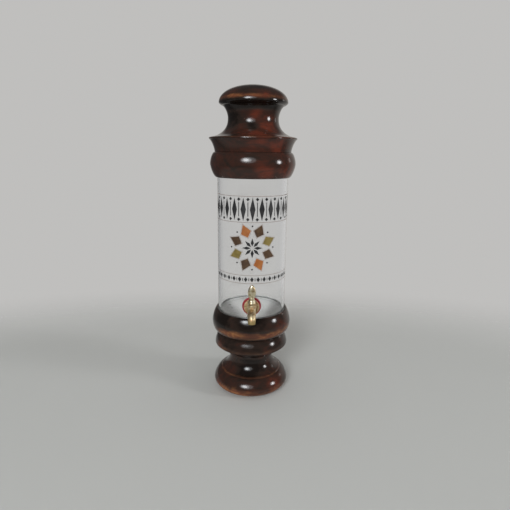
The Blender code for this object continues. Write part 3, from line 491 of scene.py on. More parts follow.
def stained_wood(name, heart, depth, worn=(), bare=(), thin=(), knots=(), dark=(), dull=()):
    """Turned wood with its grain across, under dark red-brown stain and clear lacquer.

    Growth rings are circles round a line along X through heart, (y, z), fibres are noise
    stretched along X, and depth is how pale the stain is, from 0 to 1. Each worn edge is
    (height, half width, strength): a broken band rubbed brown to orange, most near the bare
    spots. A spot is degrees right of the tap, then height, radius and reach in millimetres.
    Redder wood shows through within reach of each thin spot, each knot is darker, and the
    lacquer is dull at each dull spot. Painted shade darkens it within (height, half width) of
    each dark line, for the shade in a crevice.
    """
    wood = Finish(bpy.data.materials.new(name), Coat_Weight=1.0, Coat_Roughness=0.12, Coat_IOR=1.36,
                  Specular_IOR_Level=0.0)
    place = wood.coords()
    x, y, z = wood.split(place)
    drift = wood.noise(wood.scaled(26 * MM, 13 * MM, 13 * MM), 1, 3, 0.55)
    from_heart = ((y - heart[0]) ** 2 + (z - heart[1]) ** 2) ** 0.5 + drift * RING_WANDER
    rings = (from_heart * (math.tau / RING_WIDTH)).sine()
    fibres = wood.noise(wood.scaled(34 * MM, 2.0 * MM, 2.0 * MM), 1, 3, 0.55)
    pores = wood.noise(wood.scaled(6 * MM, 0.28 * MM, 0.28 * MM), 1, 2, 0.5)
    clouds = wood.noise(wood.scaled(24 * MM, 15 * MM, 12 * MM), 1, 3, 0.5, 0.8)

    def near(spots):
        """The largest of the spots' shares, each from 1 at its middle to 0 at its reach."""
        shares = []
        for right, *lengths in spots:
            side = math.radians(right)
            height, radius, reach = [length * MM for length in lengths]
            away = wood.distance(place, (radius * math.sin(side), -radius * math.cos(side), height))
            shares.append(wood.ease(away + drift * SPOT_WANDER, reach + FEATHER, FEATHER))
        return functools.reduce(operator.or_, shares)

    tone = clouds * 0.96 + fibres * 0.34 + rings * 0.04 + (depth - 0.65)
    if thin:
        tone = tone + near(thin) * (clouds * 0.35 + fibres * 0.2 + 0.18)
    if knots:
        tone = tone - near(knots) * 0.6
    tone = tone - wood.ease(pores, 0.56, 0.70) * 0.08
    # Painted shade: darker within half of each dark line, for the shade in a crevice.
    for height, half in dark:
        tone = tone - wood.ease(abs(z - height), half, half * 0.4) * 0.6
    stops = [(0.0, NIGHT), (1.0, RUSSET), (0.33, SOOT), (0.66, UMBER)]
    colour = wood.node("ValToRGB", {"stops": stops}, {0: tone})
    if worn:
        bands = []
        for height, half, strength in worn:
            away = abs(z - height + (drift - 0.5) * half)
            bands.append(wood.ease(away, half, 0.0) * strength)
        rubbed = functools.reduce(operator.or_, bands)
        if bare:
            rubbed = rubbed * (near(bare) * 0.55 + 0.45)
        broken = wood.noise(wood.scaled(16 * MM, 12 * MM, 5 * MM), 1, 4, 0.6)
        rubbed = wood.ease(rubbed * (broken * 0.5 + fibres * 0.4 + 0.40), 0.05, 0.95)
        raw = wood.mix(wood.ease(broken * 0.5 + fibres * 0.5, 0.42, 0.68), BRICK, AMBER)
        colour = wood.mix(rubbed, colour, raw)
    if dull:
        wood.set(Coat_Weight=1 - near(dull) * 0.9)
    wood.set(Base_Color=colour, Roughness=0.42 + fibres * 0.12,
             Normal=wood.bump(fibres * 0.5 + pores * 0.5, 0.05 * MM))
    return wood.owner


fit(foot, stained_wood(
    "foot_wood", (70 * MM, -35 * MM), 0.46,
    worn=[(foot_low.z + 3 * MM, 15 * MM, 1.45), (SHOULDER_Z + 0.9 * MM, 1.9 * MM, 0.82)],
    bare=[(-52, 10, 50, 28), (-22, 4, 46, 24), (160, 8, 50, 26)],
    thin=[(-62, 10, 52, 12), (40, 12, 50, 24), (200, 14, 50, 24)],
    knots=[(0, 38, 34, 26)],
), "stand", "stained_wood", "base_foot")


# Coach screw and washer. Dull zinc-plated steel, sunk in the foot under the felt, where the screw
# runs up through the tenon and draws the foot to the cup.
steel = Finish(bpy.data.materials.new("zinc_plate"), Metallic=1.0)
patches = steel.noise(steel.coords(), 900, 3, 0.6)
steel.set(Base_Color=steel.mix(patches, (0.42, 0.43, 0.44), (0.62, 0.62, 0.60)),
          Roughness=0.28 + patches * 0.25, Normal=steel.bump(patches, 0.02 * MM))
for name in ("base_screw", "base_screw_washer"):
    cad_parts[name].material_slots[0].material = steel.owner


# Cup. A second turned block: a rounded lower bead, a deep groove, a tall upper bead, and a
# recess that takes the jar. It sits on the foot's tenon, and its lower edges are rubbed brown.
cup_low, cup_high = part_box("base_cup")
LOWER_BEAD_RADIUS = 49.5 * MM
LOWER_BEAD_Z = cup_low.z + 9.7 * MM
GROOVE_RADIUS = 41.5 * MM
GROOVE_Z = LOWER_BEAD_Z + 17.1 * MM
UPPER_BEAD_RADIUS = cup_high.x
UPPER_BEAD_Z = GROOVE_Z + 15.8 * MM
CUP_RIM_RADIUS = 47.0 * MM
RECESS_RADIUS = 45.5 * MM
RECESS_Z = cup_high.z - 11.9 * MM
MORTISE_RADIUS = TENON_RADIUS + FIT
MORTISE_Z = foot_high.z + FIT
CUP_FOOT_RADIUS = NECK_RADIUS + 0.7 * MM
PILOT_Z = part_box("base_screw")[1].z + FIT

cup = skin("cup", lathe(sanded(
    (0, PILOT_Z),
    (SCREW_HOLE, PILOT_Z),
    (SCREW_HOLE, MORTISE_Z),
    (MORTISE_RADIUS, MORTISE_Z),
    (MORTISE_RADIUS, cup_low.z),
    quarter((CUP_FOOT_RADIUS, cup_low.z), (LOWER_BEAD_RADIUS, LOWER_BEAD_Z), "level", 1.6),
    quarter((LOWER_BEAD_RADIUS, LOWER_BEAD_Z), (GROOVE_RADIUS, GROOVE_Z), "upright", 1.3),
    quarter((GROOVE_RADIUS, GROOVE_Z), (UPPER_BEAD_RADIUS, UPPER_BEAD_Z), "level", 0.85),
    quarter((UPPER_BEAD_RADIUS, UPPER_BEAD_Z), (CUP_RIM_RADIUS, cup_high.z), "upright", 1.42),
    (RECESS_RADIUS, cup_high.z),
    (RECESS_RADIUS, RECESS_Z),
    (0, RECESS_Z))))
fit(cup, stained_wood(
    "cup_wood", (80 * MM, 40 * MM), 0.33,
    worn=[(UPPER_BEAD_Z - 6.1 * MM, 8.2 * MM, 0.83), (LOWER_BEAD_Z + 1.8 * MM, 6 * MM, 0.44)],
    bare=[(-30, 91, 47, 40), (25, 91, 47, 36), (60, 93, 48, 24), (-50, 67, 48, 22), (170, 92, 47, 40)],
    thin=[(50, 96, 50, 20), (-60, 68, 48, 14), (25, 62, 46, 14), (150, 100, 50, 26)],
    knots=[(0, 112, 50, 24), (-50, 106, 50, 20)],
    dull=[(-9, 76.5, 49, 16)],
), "stand", "stained_wood", "base_cup")


# Pad. A pale felt dish that beds the jar's heel in its recess and shows through the glass floor.
# Its rim stands up round the glass, just above the wood's. Its two sides are darkened by
# painted shade, and two crumbs lie on it.
pad_low, pad_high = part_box("glass_pad")
PAD_RADIUS = RECESS_RADIUS - 0.1 * MM
PAD_RIM = 0.28 * MM
PAD_RIM_TOP = cup_high.z + 0.6 * MM
CRUMBS = [
    ((-30.8 * MM, 11.7 * MM, pad_high.z), 2.7 * MM),
    ((-26.9 * MM, 0.2 * MM, pad_high.z), 2.2 * MM)]
pad = skin("jar_pad", lathe(sanded(
    (0, pad_low.z),
    (PAD_RADIUS, pad_low.z),
    (PAD_RADIUS, PAD_RIM_TOP),
    (PAD_RADIUS - PAD_RIM, PAD_RIM_TOP),
    (PAD_RADIUS - PAD_RIM, pad_high.z),
    (0, pad_high.z),
    soft=0.12 * MM)))
# 0.95 is the share of painted shade at the glass's sides.
fit(pad, felted("pale_wool", (0.76, 0.77, 0.77), (0.88, 0.89, 0.90), 0.95, CRUMBS),
    "stand", "pale_felt", "glass_pad")


# Jar. Blown and cut from clear tube: a thick floor, a straight wall with a fire-polished rim,
# and a hole drilled low in the front for the tap.
jar_low, jar_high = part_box("glass_jar")
GLASS_RADIUS = jar_high.x
GLASS_WALL = 3.0 * MM
GLASS_FLOOR = 8.0 * MM
INNER_RADIUS = GLASS_RADIUS - GLASS_WALL
INNER_FLOOR_Z = jar_low.z + GLASS_FLOOR
HEEL = 1.5 * MM
INNER_FILLET = 0.4 * MM
RIM_ROUND = GLASS_WALL / 2
TAP_Z = sum(corner.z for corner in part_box("tap_washer_outer")) / 2
TAP_HOLE = 4.8 * MM
DRILL_OVERRUN = 3 * MM

jar = skin("jar", lathe(sanded(
    (0, jar_low.z),
    quarter((GLASS_RADIUS - HEEL, jar_low.z), (GLASS_RADIUS, jar_low.z + HEEL), "level"),
    quarter((GLASS_RADIUS, jar_high.z - RIM_ROUND), (GLASS_RADIUS - RIM_ROUND, jar_high.z), "upright"),
    quarter((GLASS_RADIUS - RIM_ROUND, jar_high.z), (INNER_RADIUS, jar_high.z - RIM_ROUND), "level"),
    quarter((INNER_RADIUS, INNER_FLOOR_Z + INNER_FILLET), (INNER_RADIUS - INNER_FILLET, INNER_FLOOR_Z),
            "upright"),
    (0, INNER_FLOOR_Z),
    soft=0.25 * MM, length=4 * MM), 256))


def apply_modifiers(piece):
    """Makes a piece's modifiers part of its mesh."""
    shaped = bpy.data.meshes.new_from_object(piece.evaluated_get(bpy.context.evaluated_depsgraph_get()))
    piece.modifiers.clear()
    piece.data = shaped


def cut(piece, *tools):
    """Cuts closed tools out of a closed piece, and discards them."""
    for tool in tools:
        change = piece.modifiers.new(tool.name, "BOOLEAN")
        change.operation = "DIFFERENCE"
        change.solver = "MANIFOLD"
        change.object = tool
    apply_modifiers(piece)
    for tool in tools:
        bpy.data.objects.remove(tool)


def forwards(grid):
    """Lays an upright grid along the tap's axis: its height becomes the distance towards -Y."""
    return grid[..., [0, 2, 1]] * (1, -1, 1) + (0, 0, TAP_Z)


def rod(name, radius, start, end):
    """A plain round rod along the tap's axis, from start to end ahead of the jar's axis."""
    return skin(name, forwards(lathe(np.array([(0, start), (radius, start), (radius, end), (0, end)]), 64)))


cut(jar, rod("jar_drill", TAP_HOLE, INNER_RADIUS - DRILL_OVERRUN, GLASS_RADIUS + DRILL_OVERRUN))
glass = Finish(bpy.data.materials.new("jar_glass"), Base_Color=(1.0, 1.0, 1.0, 1), Roughness=0.0,
               IOR=1.5, Transmission_Weight=1.0)
tint = glass.node("VolumeAbsorption", {}, {"Color": (0.12, 0.20, 0.14, 1), "Density": 6.0}, "Volume")
glass.feed(glass.tree.nodes["Material Output"].inputs["Volume"], tint)
fit(jar, glass.owner, "stand", "clear_glass", "glass_jar")


# Cap collar. A ring turned from the same stained wood, with a fat rounded side. Its skirt slips
# over the jar's mouth, and the knob's spigot is glued into its hole.
collar_low, collar_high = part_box("cap_collar")
SKIRT_RADIUS = 45.6 * MM
SKIRT_EDGE = 1.1 * MM
COLLAR_RADIUS = collar_high.x
COLLAR_BEAD_Z = collar_low.z + 16.5 * MM
SEAM_RADIUS = 48.1 * MM
SPIGOT_RADIUS = 22.0 * MM
SOCKET_RADIUS = SPIGOT_RADIUS + FIT
LEDGE_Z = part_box("cap_knob")[0].z

collar = skin("collar", lathe(sanded(
    (SKIRT_RADIUS, collar_low.z),
    quarter((SKIRT_RADIUS + SKIRT_EDGE, collar_low.z), (COLLAR_RADIUS, COLLAR_BEAD_Z), "level", 1.4),
    quarter((COLLAR_RADIUS, COLLAR_BEAD_Z), (SEAM_RADIUS, collar_high.z), "upright", 1.17),
    (SOCKET_RADIUS, collar_high.z),
    (SOCKET_RADIUS, LEDGE_Z),
    (SKIRT_RADIUS, LEDGE_Z),
    soft=0.22 * MM, ring=True)), ring=True)
fit(collar, stained_wood(
    "collar_wood", (75 * MM, 250 * MM), 0.52,
    worn=[(collar_low.z, 1.2 * MM, 0.22)],
    thin=[(14, 297, 49, 22), (52, 296, 50, 26), (190, 300, 50, 40)],
), "cap", "stained_wood", "cap_collar")


# Cap knob. A flared flange, a deep cove and a low dome turned in one, with a spigot glued down
# into the collar. The dome's rim and the flange's edge are rubbed bright orange.
knob_low, knob_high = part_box("cap_knob")
KNOB_Z = collar_high.z + FIT
SEAM_Z = collar_high.z + 0.02 * MM
FLANGE_RADIUS = knob_high.x
FLANGE_Z = KNOB_Z + 15.2 * MM
FLANGE_LIP_RADIUS = FLANGE_RADIUS - 0.3 * MM
FLANGE_LIP_Z = FLANGE_Z + 1.5 * MM
SHELF_RADIUS = FLANGE_RADIUS - 3.1 * MM
SHELF_Z = FLANGE_LIP_Z + 1.0 * MM
KNOB_NECK_RADIUS = 31.4 * MM
KNOB_NECK_Z = SHELF_Z + 22.5 * MM
THROAT_RADIUS = 38.7 * MM
THROAT_Z = KNOB_NECK_Z + 14.3 * MM
DOME_RADIUS = 42.5 * MM
DOME_Z = THROAT_Z + 3.0 * MM

knob = skin("knob", lathe(sanded(
    (0, knob_low.z),
    (SPIGOT_RADIUS, knob_low.z),
    (SPIGOT_RADIUS, SEAM_Z),
    (SEAM_RADIUS, SEAM_Z),
    quarter((SEAM_RADIUS, KNOB_Z), (FLANGE_RADIUS, FLANGE_Z), "upright", 1.4),
    (FLANGE_LIP_RADIUS, FLANGE_LIP_Z),
    quarter((SHELF_RADIUS, SHELF_Z), (KNOB_NECK_RADIUS, KNOB_NECK_Z), "level", 1.3, 0.82),
    quarter((KNOB_NECK_RADIUS, KNOB_NECK_Z), (THROAT_RADIUS, THROAT_Z), "upright", 1.25),
    quarter((THROAT_RADIUS, THROAT_Z), (DOME_RADIUS, DOME_Z), "level", 1.6),
    quarter((DOME_RADIUS, DOME_Z), (0, knob_high.z), "upright", 0.96),
    soft=0.22 * MM)))
fit(knob, stained_wood(
    "knob_wood", (65 * MM, 330 * MM), 0.46,
    worn=[(DOME_Z + 4.2 * MM, 4.0 * MM, 0.85), (FLANGE_LIP_Z, 1.6 * MM, 0.6)],
    bare=[(2, 382, 42, 15), (-34, 381, 42, 15), (-4, 334, 50, 12), (55, 334, 50, 12), (150, 380, 42, 30)],
    thin=[(4, 361, 32, 15), (31, 348, 34, 20), (-2, 326, 45, 36), (34, 326, 45, 24), (20, 381, 42, 13),
          (185, 340, 36, 30)],
    knots=[(-3, 346.7, 33, 9), (-52, 358, 32, 18), (5, 393, 16, 24)],
    # Painted shade in the throat under the dome's overhang.
    dark=[(THROAT_Z - 1 * MM, 7 * MM)],
), "cap", "stained_wood", "cap_knob")


# Print. A transfer in dull inks round the front of the jar, as thin raised sheets of ink: a
# band of tall dark spindles above, a quilt star of kites in the middle and a lozenge border below.
INK_GAP = 0.02 * MM
INK_THICKNESS = 0.04 * MM
CELLS = 7


def ink(name, corners, colours):
    """Wraps four-cornered patches round the jar as thin sheets of ink.

    A patch's corners are (along, height), along being measured round the glass from the front,
    and its surface is their bilinear blend. A point (along, height) at radius r lands on
    (r sin(along / R), -r cos(along / R), height), R being the glass's radius. The ink is of two
    close colours in patches.
    """
    corners = np.array(corners, float)
    u, v = np.meshgrid(np.linspace(0, 1, CELLS), np.linspace(0, 1, CELLS), indexing="ij")
    share = np.stack([(1 - u) * (1 - v), u * (1 - v), u * v, (1 - u) * v])
    flat = np.einsum("cuv,pca->puva", share, corners)
    turn = flat[..., 0] / GLASS_RADIUS
    sheets = []
    for lift in (INK_GAP, INK_GAP + INK_THICKNESS):
        radius = GLASS_RADIUS + lift
        sheets.append(np.stack([radius * np.sin(turn), -radius * np.cos(turn), flat[..., 1]], axis=3))
    points = np.stack(sheets, axis=1).reshape(-1, 3)
    index = np.arange(len(points)).reshape(len(corners), 2, CELLS, CELLS)
    inner, outer = index[:, 0], index[:, 1]

    def cells(grid):
        """The four corners of each cell."""
        return np.stack([grid[:, :-1, :-1], grid[:, 1:, :-1], grid[:, 1:, 1:], grid[:, :-1, 1:]],
                        axis=3).reshape(-1, 4)

    def edge(grid):
        """The grid's border as one closed loop of each patch."""
        return np.hstack([grid[:, :-1, 0], grid[:, -1, :-1], grid[:, :0:-1, -1], grid[:, 0, :0:-1]])

    below, above = edge(inner), edge(outer)
    walls = np.stack([below, np.roll(below, -1, 1), np.roll(above, -1, 1), above], axis=2).reshape(-1, 4)
    faces = np.vstack([cells(outer), cells(inner)[:, ::-1], walls])
    mesh = bpy.data.meshes.new(name)
    mesh.from_pydata(points.tolist(), [], faces.tolist())
    piece = bpy.data.objects.new(name, mesh)
    bpy.context.scene.collection.objects.link(piece)
    dye = Finish(bpy.data.materials.new(name), Roughness=0.38)
    patchy = dye.noise(dye.coords(), 160, 4, 0.65)
    dye.set(Base_Color=dye.mix(dye.ease(patchy, 0.35, 0.7), *colours))
    piece.data.materials.append(dye.owner)
    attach(piece, "stand")
    return piece


def lozenge(along, height, width, tall):
    """Corners of an upright diamond about its middle."""
    return [(along, height - tall / 2), (along + width / 2, height), (along, height + tall / 2),
            (along - width / 2, height)]


def bar(along, height, width, tall):
    """Corners of an upright rectangle about its middle."""
    return [(along - width / 2, height - tall / 2), (along + width / 2, height - tall / 2),
            (along + width / 2, height + tall / 2), (along - width / 2, height + tall / 2)]


def kite(turn, inner, outer, spread):
    """Corners of a kite that points out of the star's middle at turn, from inner to outer.

    Its shoulders stand at turn + spread and turn - spread, KITE_SHOULDER of the way out.
    """
    shoulder = inner + (outer - inner) * KITE_SHOULDER
    return [(distance * math.sin(angle), STAR_Z + distance * math.cos(angle)) for distance, angle in
            ((inner, turn), (shoulder, turn + spread), (outer, turn), (shoulder, turn - spread))]


def outline(corners, inner, outer):
    """Four thin strips round a patch, between its corners scaled by inner and by outer."""
    corners = np.array(corners)
    middle = corners.mean(axis=0)
    near, far = [middle + (corners - middle) * scale for scale in (inner, outer)]
    return [[far[i - 1], far[i], near[i], near[i - 1]] for i in range(4)]


BLACK_INK = ((0.012, 0.012, 0.013), (0.03, 0.03, 0.03))
SEPIA_INK = ((0.16, 0.10, 0.08), (0.24, 0.17, 0.14))
BROWN_INK = ((0.055, 0.028, 0.014), (0.10, 0.055, 0.025))
GOLD_INK = ((0.15, 0.11, 0.026), (0.22, 0.16, 0.045))
ORANGE_INK = ((0.28, 0.085, 0.018), (0.36, 0.13, 0.032))
RULE = 0.45 * MM

BAND_Z = 252 * MM
BAND_RULES = 15.6 * MM
SPINDLE_PITCH = 11.4 * MM
SPINDLE_WIDTH = 6.8 * MM
SPINDLE_HEIGHT = 29 * MM
SPINDLE_FALL = 0.9 * MM
SLAT_WIDTH = 1.0 * MM
SLAT_HEIGHT = 17 * MM
STUD = 4.4 * MM
STUD_REACH = 12 * MM
spindles, rules = [], []
for place in range(-5, 6):
    along = place * SPINDLE_PITCH
    between = along + SPINDLE_PITCH / 2
    spindles.append(lozenge(along, BAND_Z, SPINDLE_WIDTH, SPINDLE_HEIGHT - SPINDLE_FALL * abs(place)))
    spindles.append(bar(between, BAND_Z, SLAT_WIDTH, SLAT_HEIGHT))
    for side in (-1, 1):
        spindles.append(lozenge(between, BAND_Z + side * STUD_REACH, STUD, STUD))
        rules.append(bar(along + SPINDLE_PITCH / 4, BAND_Z + side * BAND_RULES, SPINDLE_PITCH, RULE))

BORDER_Z = 165 * MM
BORDER_RULES = 5.2 * MM
BORDER_PITCH = 7.8 * MM
BORDER_WIDTH = 4.6 * MM
BORDER_HEIGHT = 6.6 * MM
PEG_WIDTH = 0.9 * MM
PEG_HEIGHT = 3.6 * MM
border = []
for place in range(-7, 8):
    along = place * BORDER_PITCH
    border.append(lozenge(along, BORDER_Z, BORDER_WIDTH, BORDER_HEIGHT))
    border.append(bar(along + BORDER_PITCH / 2, BORDER_Z, PEG_WIDTH, PEG_HEIGHT))
    for side in (-1, 1):
        rules.append(bar(along + BORDER_PITCH / 4, BORDER_Z + side * BORDER_RULES, BORDER_PITCH, RULE))

STAR_Z = 205 * MM
STAR_STEP = math.tau / 8
STAR_OUTLINE = (1.10, 1.16)
KITE_REACH = (14 * MM, 31 * MM)
KITE_SPREAD = 0.31
KITE_SHOULDER = 0.45
HEART_REACH = (2 * MM, 12.5 * MM)
HEART_SPREAD = 0.30
DOT = 2.6 * MM
DOT_REACH = 27 * MM
kites, heart, dots = [], [], []
for point in range(8):
    turn = point * STAR_STEP
    kites.append(kite(turn + STAR_STEP / 2, *KITE_REACH, KITE_SPREAD))
    heart.append(kite(turn + STAR_STEP, *HEART_REACH, HEART_SPREAD))
    dots.append(lozenge(DOT_REACH * math.sin(turn), STAR_Z + DOT_REACH * math.cos(turn), DOT, DOT))

ink("ink_spindles", spindles, BLACK_INK)
ink("ink_border", border, BLACK_INK)
ink("ink_rules", rules, SEPIA_INK)
ink("ink_star_dark", kites[0::2], BROWN_INK)
ink("ink_star_gold", kites[1::4], GOLD_INK)
ink("ink_star_orange", kites[3::4], ORANGE_INK)
ink("ink_star_lines", sum([outline(corners, *STAR_OUTLINE) for corners in kites], []), SEPIA_INK)
ink("ink_star_heart", heart, BLACK_INK)
ink("ink_star_dots", dots, BLACK_INK)


# Rubber washers. Two rings of red rubber, one on each side of the glass with a face that follows
# its curve. The nut presses them to the glass, and they seal the hole.
outer_low, outer_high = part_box("tap_washer_outer")
inner_low, inner_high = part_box("tap_washer_inner")
WASHER_HOLE = 4.8 * MM


def washer(name, radius, back, front, curved):
    """A flat ring along the tap's axis with rounded edges, one face curved to the glass.

    Its section is a superellipse, |2u|^6 + |2v|^6 = 1, between the hole and radius and between
    its faces. The face that isn't given follows the glass, where x^2 + y^2 = curved^2.
    """
    turn = turns(48)
    size = (np.abs(np.cos(turn)) ** 6 + np.abs(np.sin(turn)) ** 6) ** (-1 / 6)
    across = 0.5 + 0.5 * size * np.cos(turn)
    through = 0.5 + 0.5 * size * np.sin(turn)
    grid = lathe(np.stack([WASHER_HOLE + (radius - WASHER_HOLE) * across, through], axis=1), 96)
    follow = np.sqrt(curved ** 2 - grid[..., 0] ** 2)
    near, far = (follow, front) if front is not None else (back, follow)
    grid[..., 2] = near + (far - near) * grid[..., 2]
    return skin(name, forwards(grid), ring=True)


rubber = Finish(bpy.data.materials.new("red_rubber_ring"), Specular_IOR_Level=0.4)
bloom = rubber.noise(rubber.coords(), 420, 4, 0.6)
red = rubber.mix(rubber.ease(bloom, 0.4, 0.75), (0.24, 0.010, 0.016), (0.34, 0.030, 0.032))
rubber.set(Base_Color=red, Roughness=0.38 + bloom * 0.2, Normal=rubber.bump(bloom, 0.03 * MM))
fit(washer("washer_outside", outer_high.x, None, -outer_low.y, GLASS_RADIUS + FIT),
    rubber.owner, "stand", "red_rubber", "tap_washer_outer")
fit(washer("washer_inside", inner_high.x, -inner_high.y, None, INNER_RADIUS - FIT),
    rubber.owner, "stand", "red_rubber", "tap_washer_inner")


# Tap body. Cast brass, tumbled smooth: a dished flange against the washer, a short barrel with
# a collar, an upright housing for the key and a bent spout, on a threaded shank.
body_low, body_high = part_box("tap_body")
key_low, key_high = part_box("tap_key")
KEY_REACH = -(key_low.y + key_high.y) / 2
SHANK_BACK = -body_high.y
SHANK_RADIUS = 4.5 * MM
THREAD_DEPTH = 0.4 * MM
THREAD_PITCH = 1.5 * MM
THREAD_STEP = 0.15 * MM
SHANK_SUNK = 1 * MM
FLANGE_BACK = -outer_low.y + FIT
FLANGE_FRONT = FLANGE_BACK + 2.4 * MM
TAP_FLANGE_RADIUS = 9.8 * MM
TAP_FLANGE_ROUND = 0.8 * MM
DISH_RIM = TAP_FLANGE_RADIUS - 2.2 * MM
DISH_RADIUS = TAP_FLANGE_RADIUS - 3.0 * MM
DISH_FRONT = FLANGE_FRONT - 1.2 * MM
BARREL_RADIUS = 4.0 * MM
BARREL_FOOT = BARREL_RADIUS + 1.4 * MM
BARREL_COLLAR = 5.0 * MM
BARREL_COLLAR_HALF = 0.8 * MM
INLET_RADIUS = 1.8 * MM
HOUSING_RADIUS = 5.1 * MM
HOUSING_RIM = 5.5 * MM
HOUSING_RIM_HEIGHT = 1.8 * MM
HOUSING_FOOT = 4.4 * MM
HOUSING_FOOT_HEIGHT = 3 * MM
HOUSING_TOP = TAP_Z + 9.3 * MM
HOUSING_BOTTOM = TAP_Z - 9.5 * MM
HOUSING_BACK = KEY_REACH - HOUSING_RADIUS
COLLAR_REACH = (FLANGE_FRONT + HOUSING_BACK) / 2
SPOUT_RADIUS = 4.7 * MM
SPOUT_BORE = 2.5 * MM
SPOUT_START = KEY_REACH + 7.2 * MM
SPOUT_BEND = math.radians(76)
SPOUT_BEND_RADIUS = 7.5 * MM
SPOUT_DROP = 4.4 * MM
NOSE_RADIUS = 3.6 * MM
NOSE_EDGE = 0.7 * MM
NOSE_TAPER = 0.1
OVERRUN = 2 * MM


def upright(grid):
    """Stands a grid on the key's axis."""
    return grid + (0, -KEY_REACH, 0)


def tube(radius, drop, nose=None):
    """A grid of rings round the spout's line, of the given radius.

    The line runs ahead at the tap's height, bends down on an arc and goes straight on for drop.
    A ring that leans by b at (ahead, up) has its point at turn a at
    (r cos a, -(ahead + r sin a sin b), up + r sin a cos b). With a nose, the straight stretch
    narrows by NOSE_TAPER and then rounds off to the nose's radius.
    """
    bend = np.linspace(0, SPOUT_BEND, 24)
    ahead = np.append(KEY_REACH, SPOUT_START + SPOUT_BEND_RADIUS * np.sin(bend))
    up = np.append(0, SPOUT_BEND_RADIUS * (np.cos(bend) - 1))
    end = drop * np.sin(np.linspace(0, math.pi / 2, 24))[1:]
    ahead = np.append(ahead, ahead[-1] + end * math.cos(SPOUT_BEND))[:, None]
    up = np.append(up, up[-1] - end * math.sin(SPOUT_BEND))[:, None]
    lean = np.concatenate([[0], bend, np.full(len(end), SPOUT_BEND)])[:, None]
    size = np.full(len(lean), radius)
    if nose is not None:
        edge = (1 - (drop - end) / NOSE_EDGE).clip(0, 1)
        side = radius * (1 - NOSE_TAPER * end / drop)
        size[-len(end):] = nose + (side - nose) * np.sqrt(1 - edge ** 2)
    size = size[:, None]
    turn = turns(64)
    return np.stack([size * np.cos(turn), -(ahead + size * np.sin(turn) * np.sin(lean)),
                     TAP_Z + up + size * np.sin(turn) * np.cos(lean)], axis=2)


def joined(*parts):
    """Puts all parts into the first one's mesh."""
    with bpy.context.temp_override(active_object=parts[0], selected_editable_objects=parts):
        bpy.ops.object.join()
    return parts[0]


def cast(name, parts, voxel, rounds):
    """Melts closed parts into one casting: a voxel remesh joins them, and smoothing fills corners."""
    whole = joined(*parts)
    whole.name = name
    melt = whole.modifiers.new("melt", "REMESH")
    melt.mode = "VOXEL"
    melt.voxel_size = voxel
    melt.use_smooth_shade = True
    polish = whole.modifiers.new("polish", "SMOOTH")
    polish.factor = 0.5
    polish.iterations = rounds
    apply_modifiers(whole)
    return whole


barrel = skin("barrel", forwards(lathe(sanded(
    (0, FLANGE_BACK),
    (TAP_FLANGE_RADIUS, FLANGE_BACK),
    quarter((TAP_FLANGE_RADIUS, FLANGE_FRONT - TAP_FLANGE_ROUND),
            (TAP_FLANGE_RADIUS - TAP_FLANGE_ROUND, FLANGE_FRONT), "upright"),
    (DISH_RIM, FLANGE_FRONT),
    (DISH_RADIUS, DISH_FRONT),
    (BARREL_FOOT, DISH_FRONT),
    (BARREL_RADIUS, FLANGE_FRONT),
    (BARREL_RADIUS, COLLAR_REACH - 2 * BARREL_COLLAR_HALF),
    (BARREL_COLLAR, COLLAR_REACH - BARREL_COLLAR_HALF),
    (BARREL_COLLAR, COLLAR_REACH + BARREL_COLLAR_HALF),
    (BARREL_RADIUS, COLLAR_REACH + 2 * BARREL_COLLAR_HALF),
    (BARREL_RADIUS, KEY_REACH),
    (0, KEY_REACH),
    soft=0.2 * MM, length=0.8 * MM), 96)))
housing = skin("housing", upright(lathe(sanded(
    (0, HOUSING_BOTTOM),
    (HOUSING_FOOT, HOUSING_BOTTOM),
    (HOUSING_RADIUS, HOUSING_BOTTOM + HOUSING_FOOT_HEIGHT),
    (HOUSING_RADIUS, HOUSING_TOP - 2 * HOUSING_RIM_HEIGHT),
    (HOUSING_RIM, HOUSING_TOP - HOUSING_RIM_HEIGHT),
    (HOUSING_RIM, HOUSING_TOP),
    (0, HOUSING_TOP),
    soft=0.2 * MM, length=0.8 * MM), 96)))
spout = skin("spout", tube(SPOUT_RADIUS, SPOUT_DROP, NOSE_RADIUS))
tap = cast("tap", [barrel, housing, spout], 0.25 * MM, 4)

KEY_TOP_RADIUS = 3.3 * MM
KEY_FOOT_RADIUS = 2.9 * MM
seat = skin("key_seat", upright(lathe(np.array([
    (0, HOUSING_BOTTOM - OVERRUN),
    (KEY_FOOT_RADIUS + FIT, HOUSING_BOTTOM - OVERRUN),
    (KEY_FOOT_RADIUS + FIT, HOUSING_BOTTOM),
    (KEY_TOP_RADIUS + FIT, HOUSING_TOP),
    (KEY_TOP_RADIUS + FIT, HOUSING_TOP + OVERRUN),
    (0, HOUSING_TOP + OVERRUN)]), 64)))
cut(tap, seat, rod("inlet", INLET_RADIUS, FLANGE_BACK - OVERRUN, KEY_REACH),
    skin("outlet", tube(SPOUT_BORE, SPOUT_DROP + OVERRUN)))


def threaded(back, front, sides=64):
    """A grid of rings that runs ahead over a screw thread and back through the inlet's bore.

    The thread's radius is SHANK_RADIUS - THREAD_DEPTH |2p - 1| at the share p of its pitch that
    a point has reached, which is reach / THREAD_PITCH - turn / full turn, less its whole part.
    """
    turn = turns(sides)
    reach = np.arange(back, front, THREAD_STEP)
    phase = (reach[:, None] / THREAD_PITCH - turn / math.tau) % 1
    ridge = SHANK_RADIUS - THREAD_DEPTH * np.abs(2 * phase - 1)
    thread = np.stack([ridge * np.cos(turn), ridge * np.sin(turn), reach[:, None] + 0 * turn], axis=2)
    bore = lathe(np.stack([np.full(len(reach), INLET_RADIUS), reach[::-1]], axis=1), sides)
    return np.vstack([thread, bore])


shank = skin("shank", forwards(threaded(SHANK_BACK, FLANGE_BACK + SHANK_SUNK)), ring=True)
joined(tap, shank)

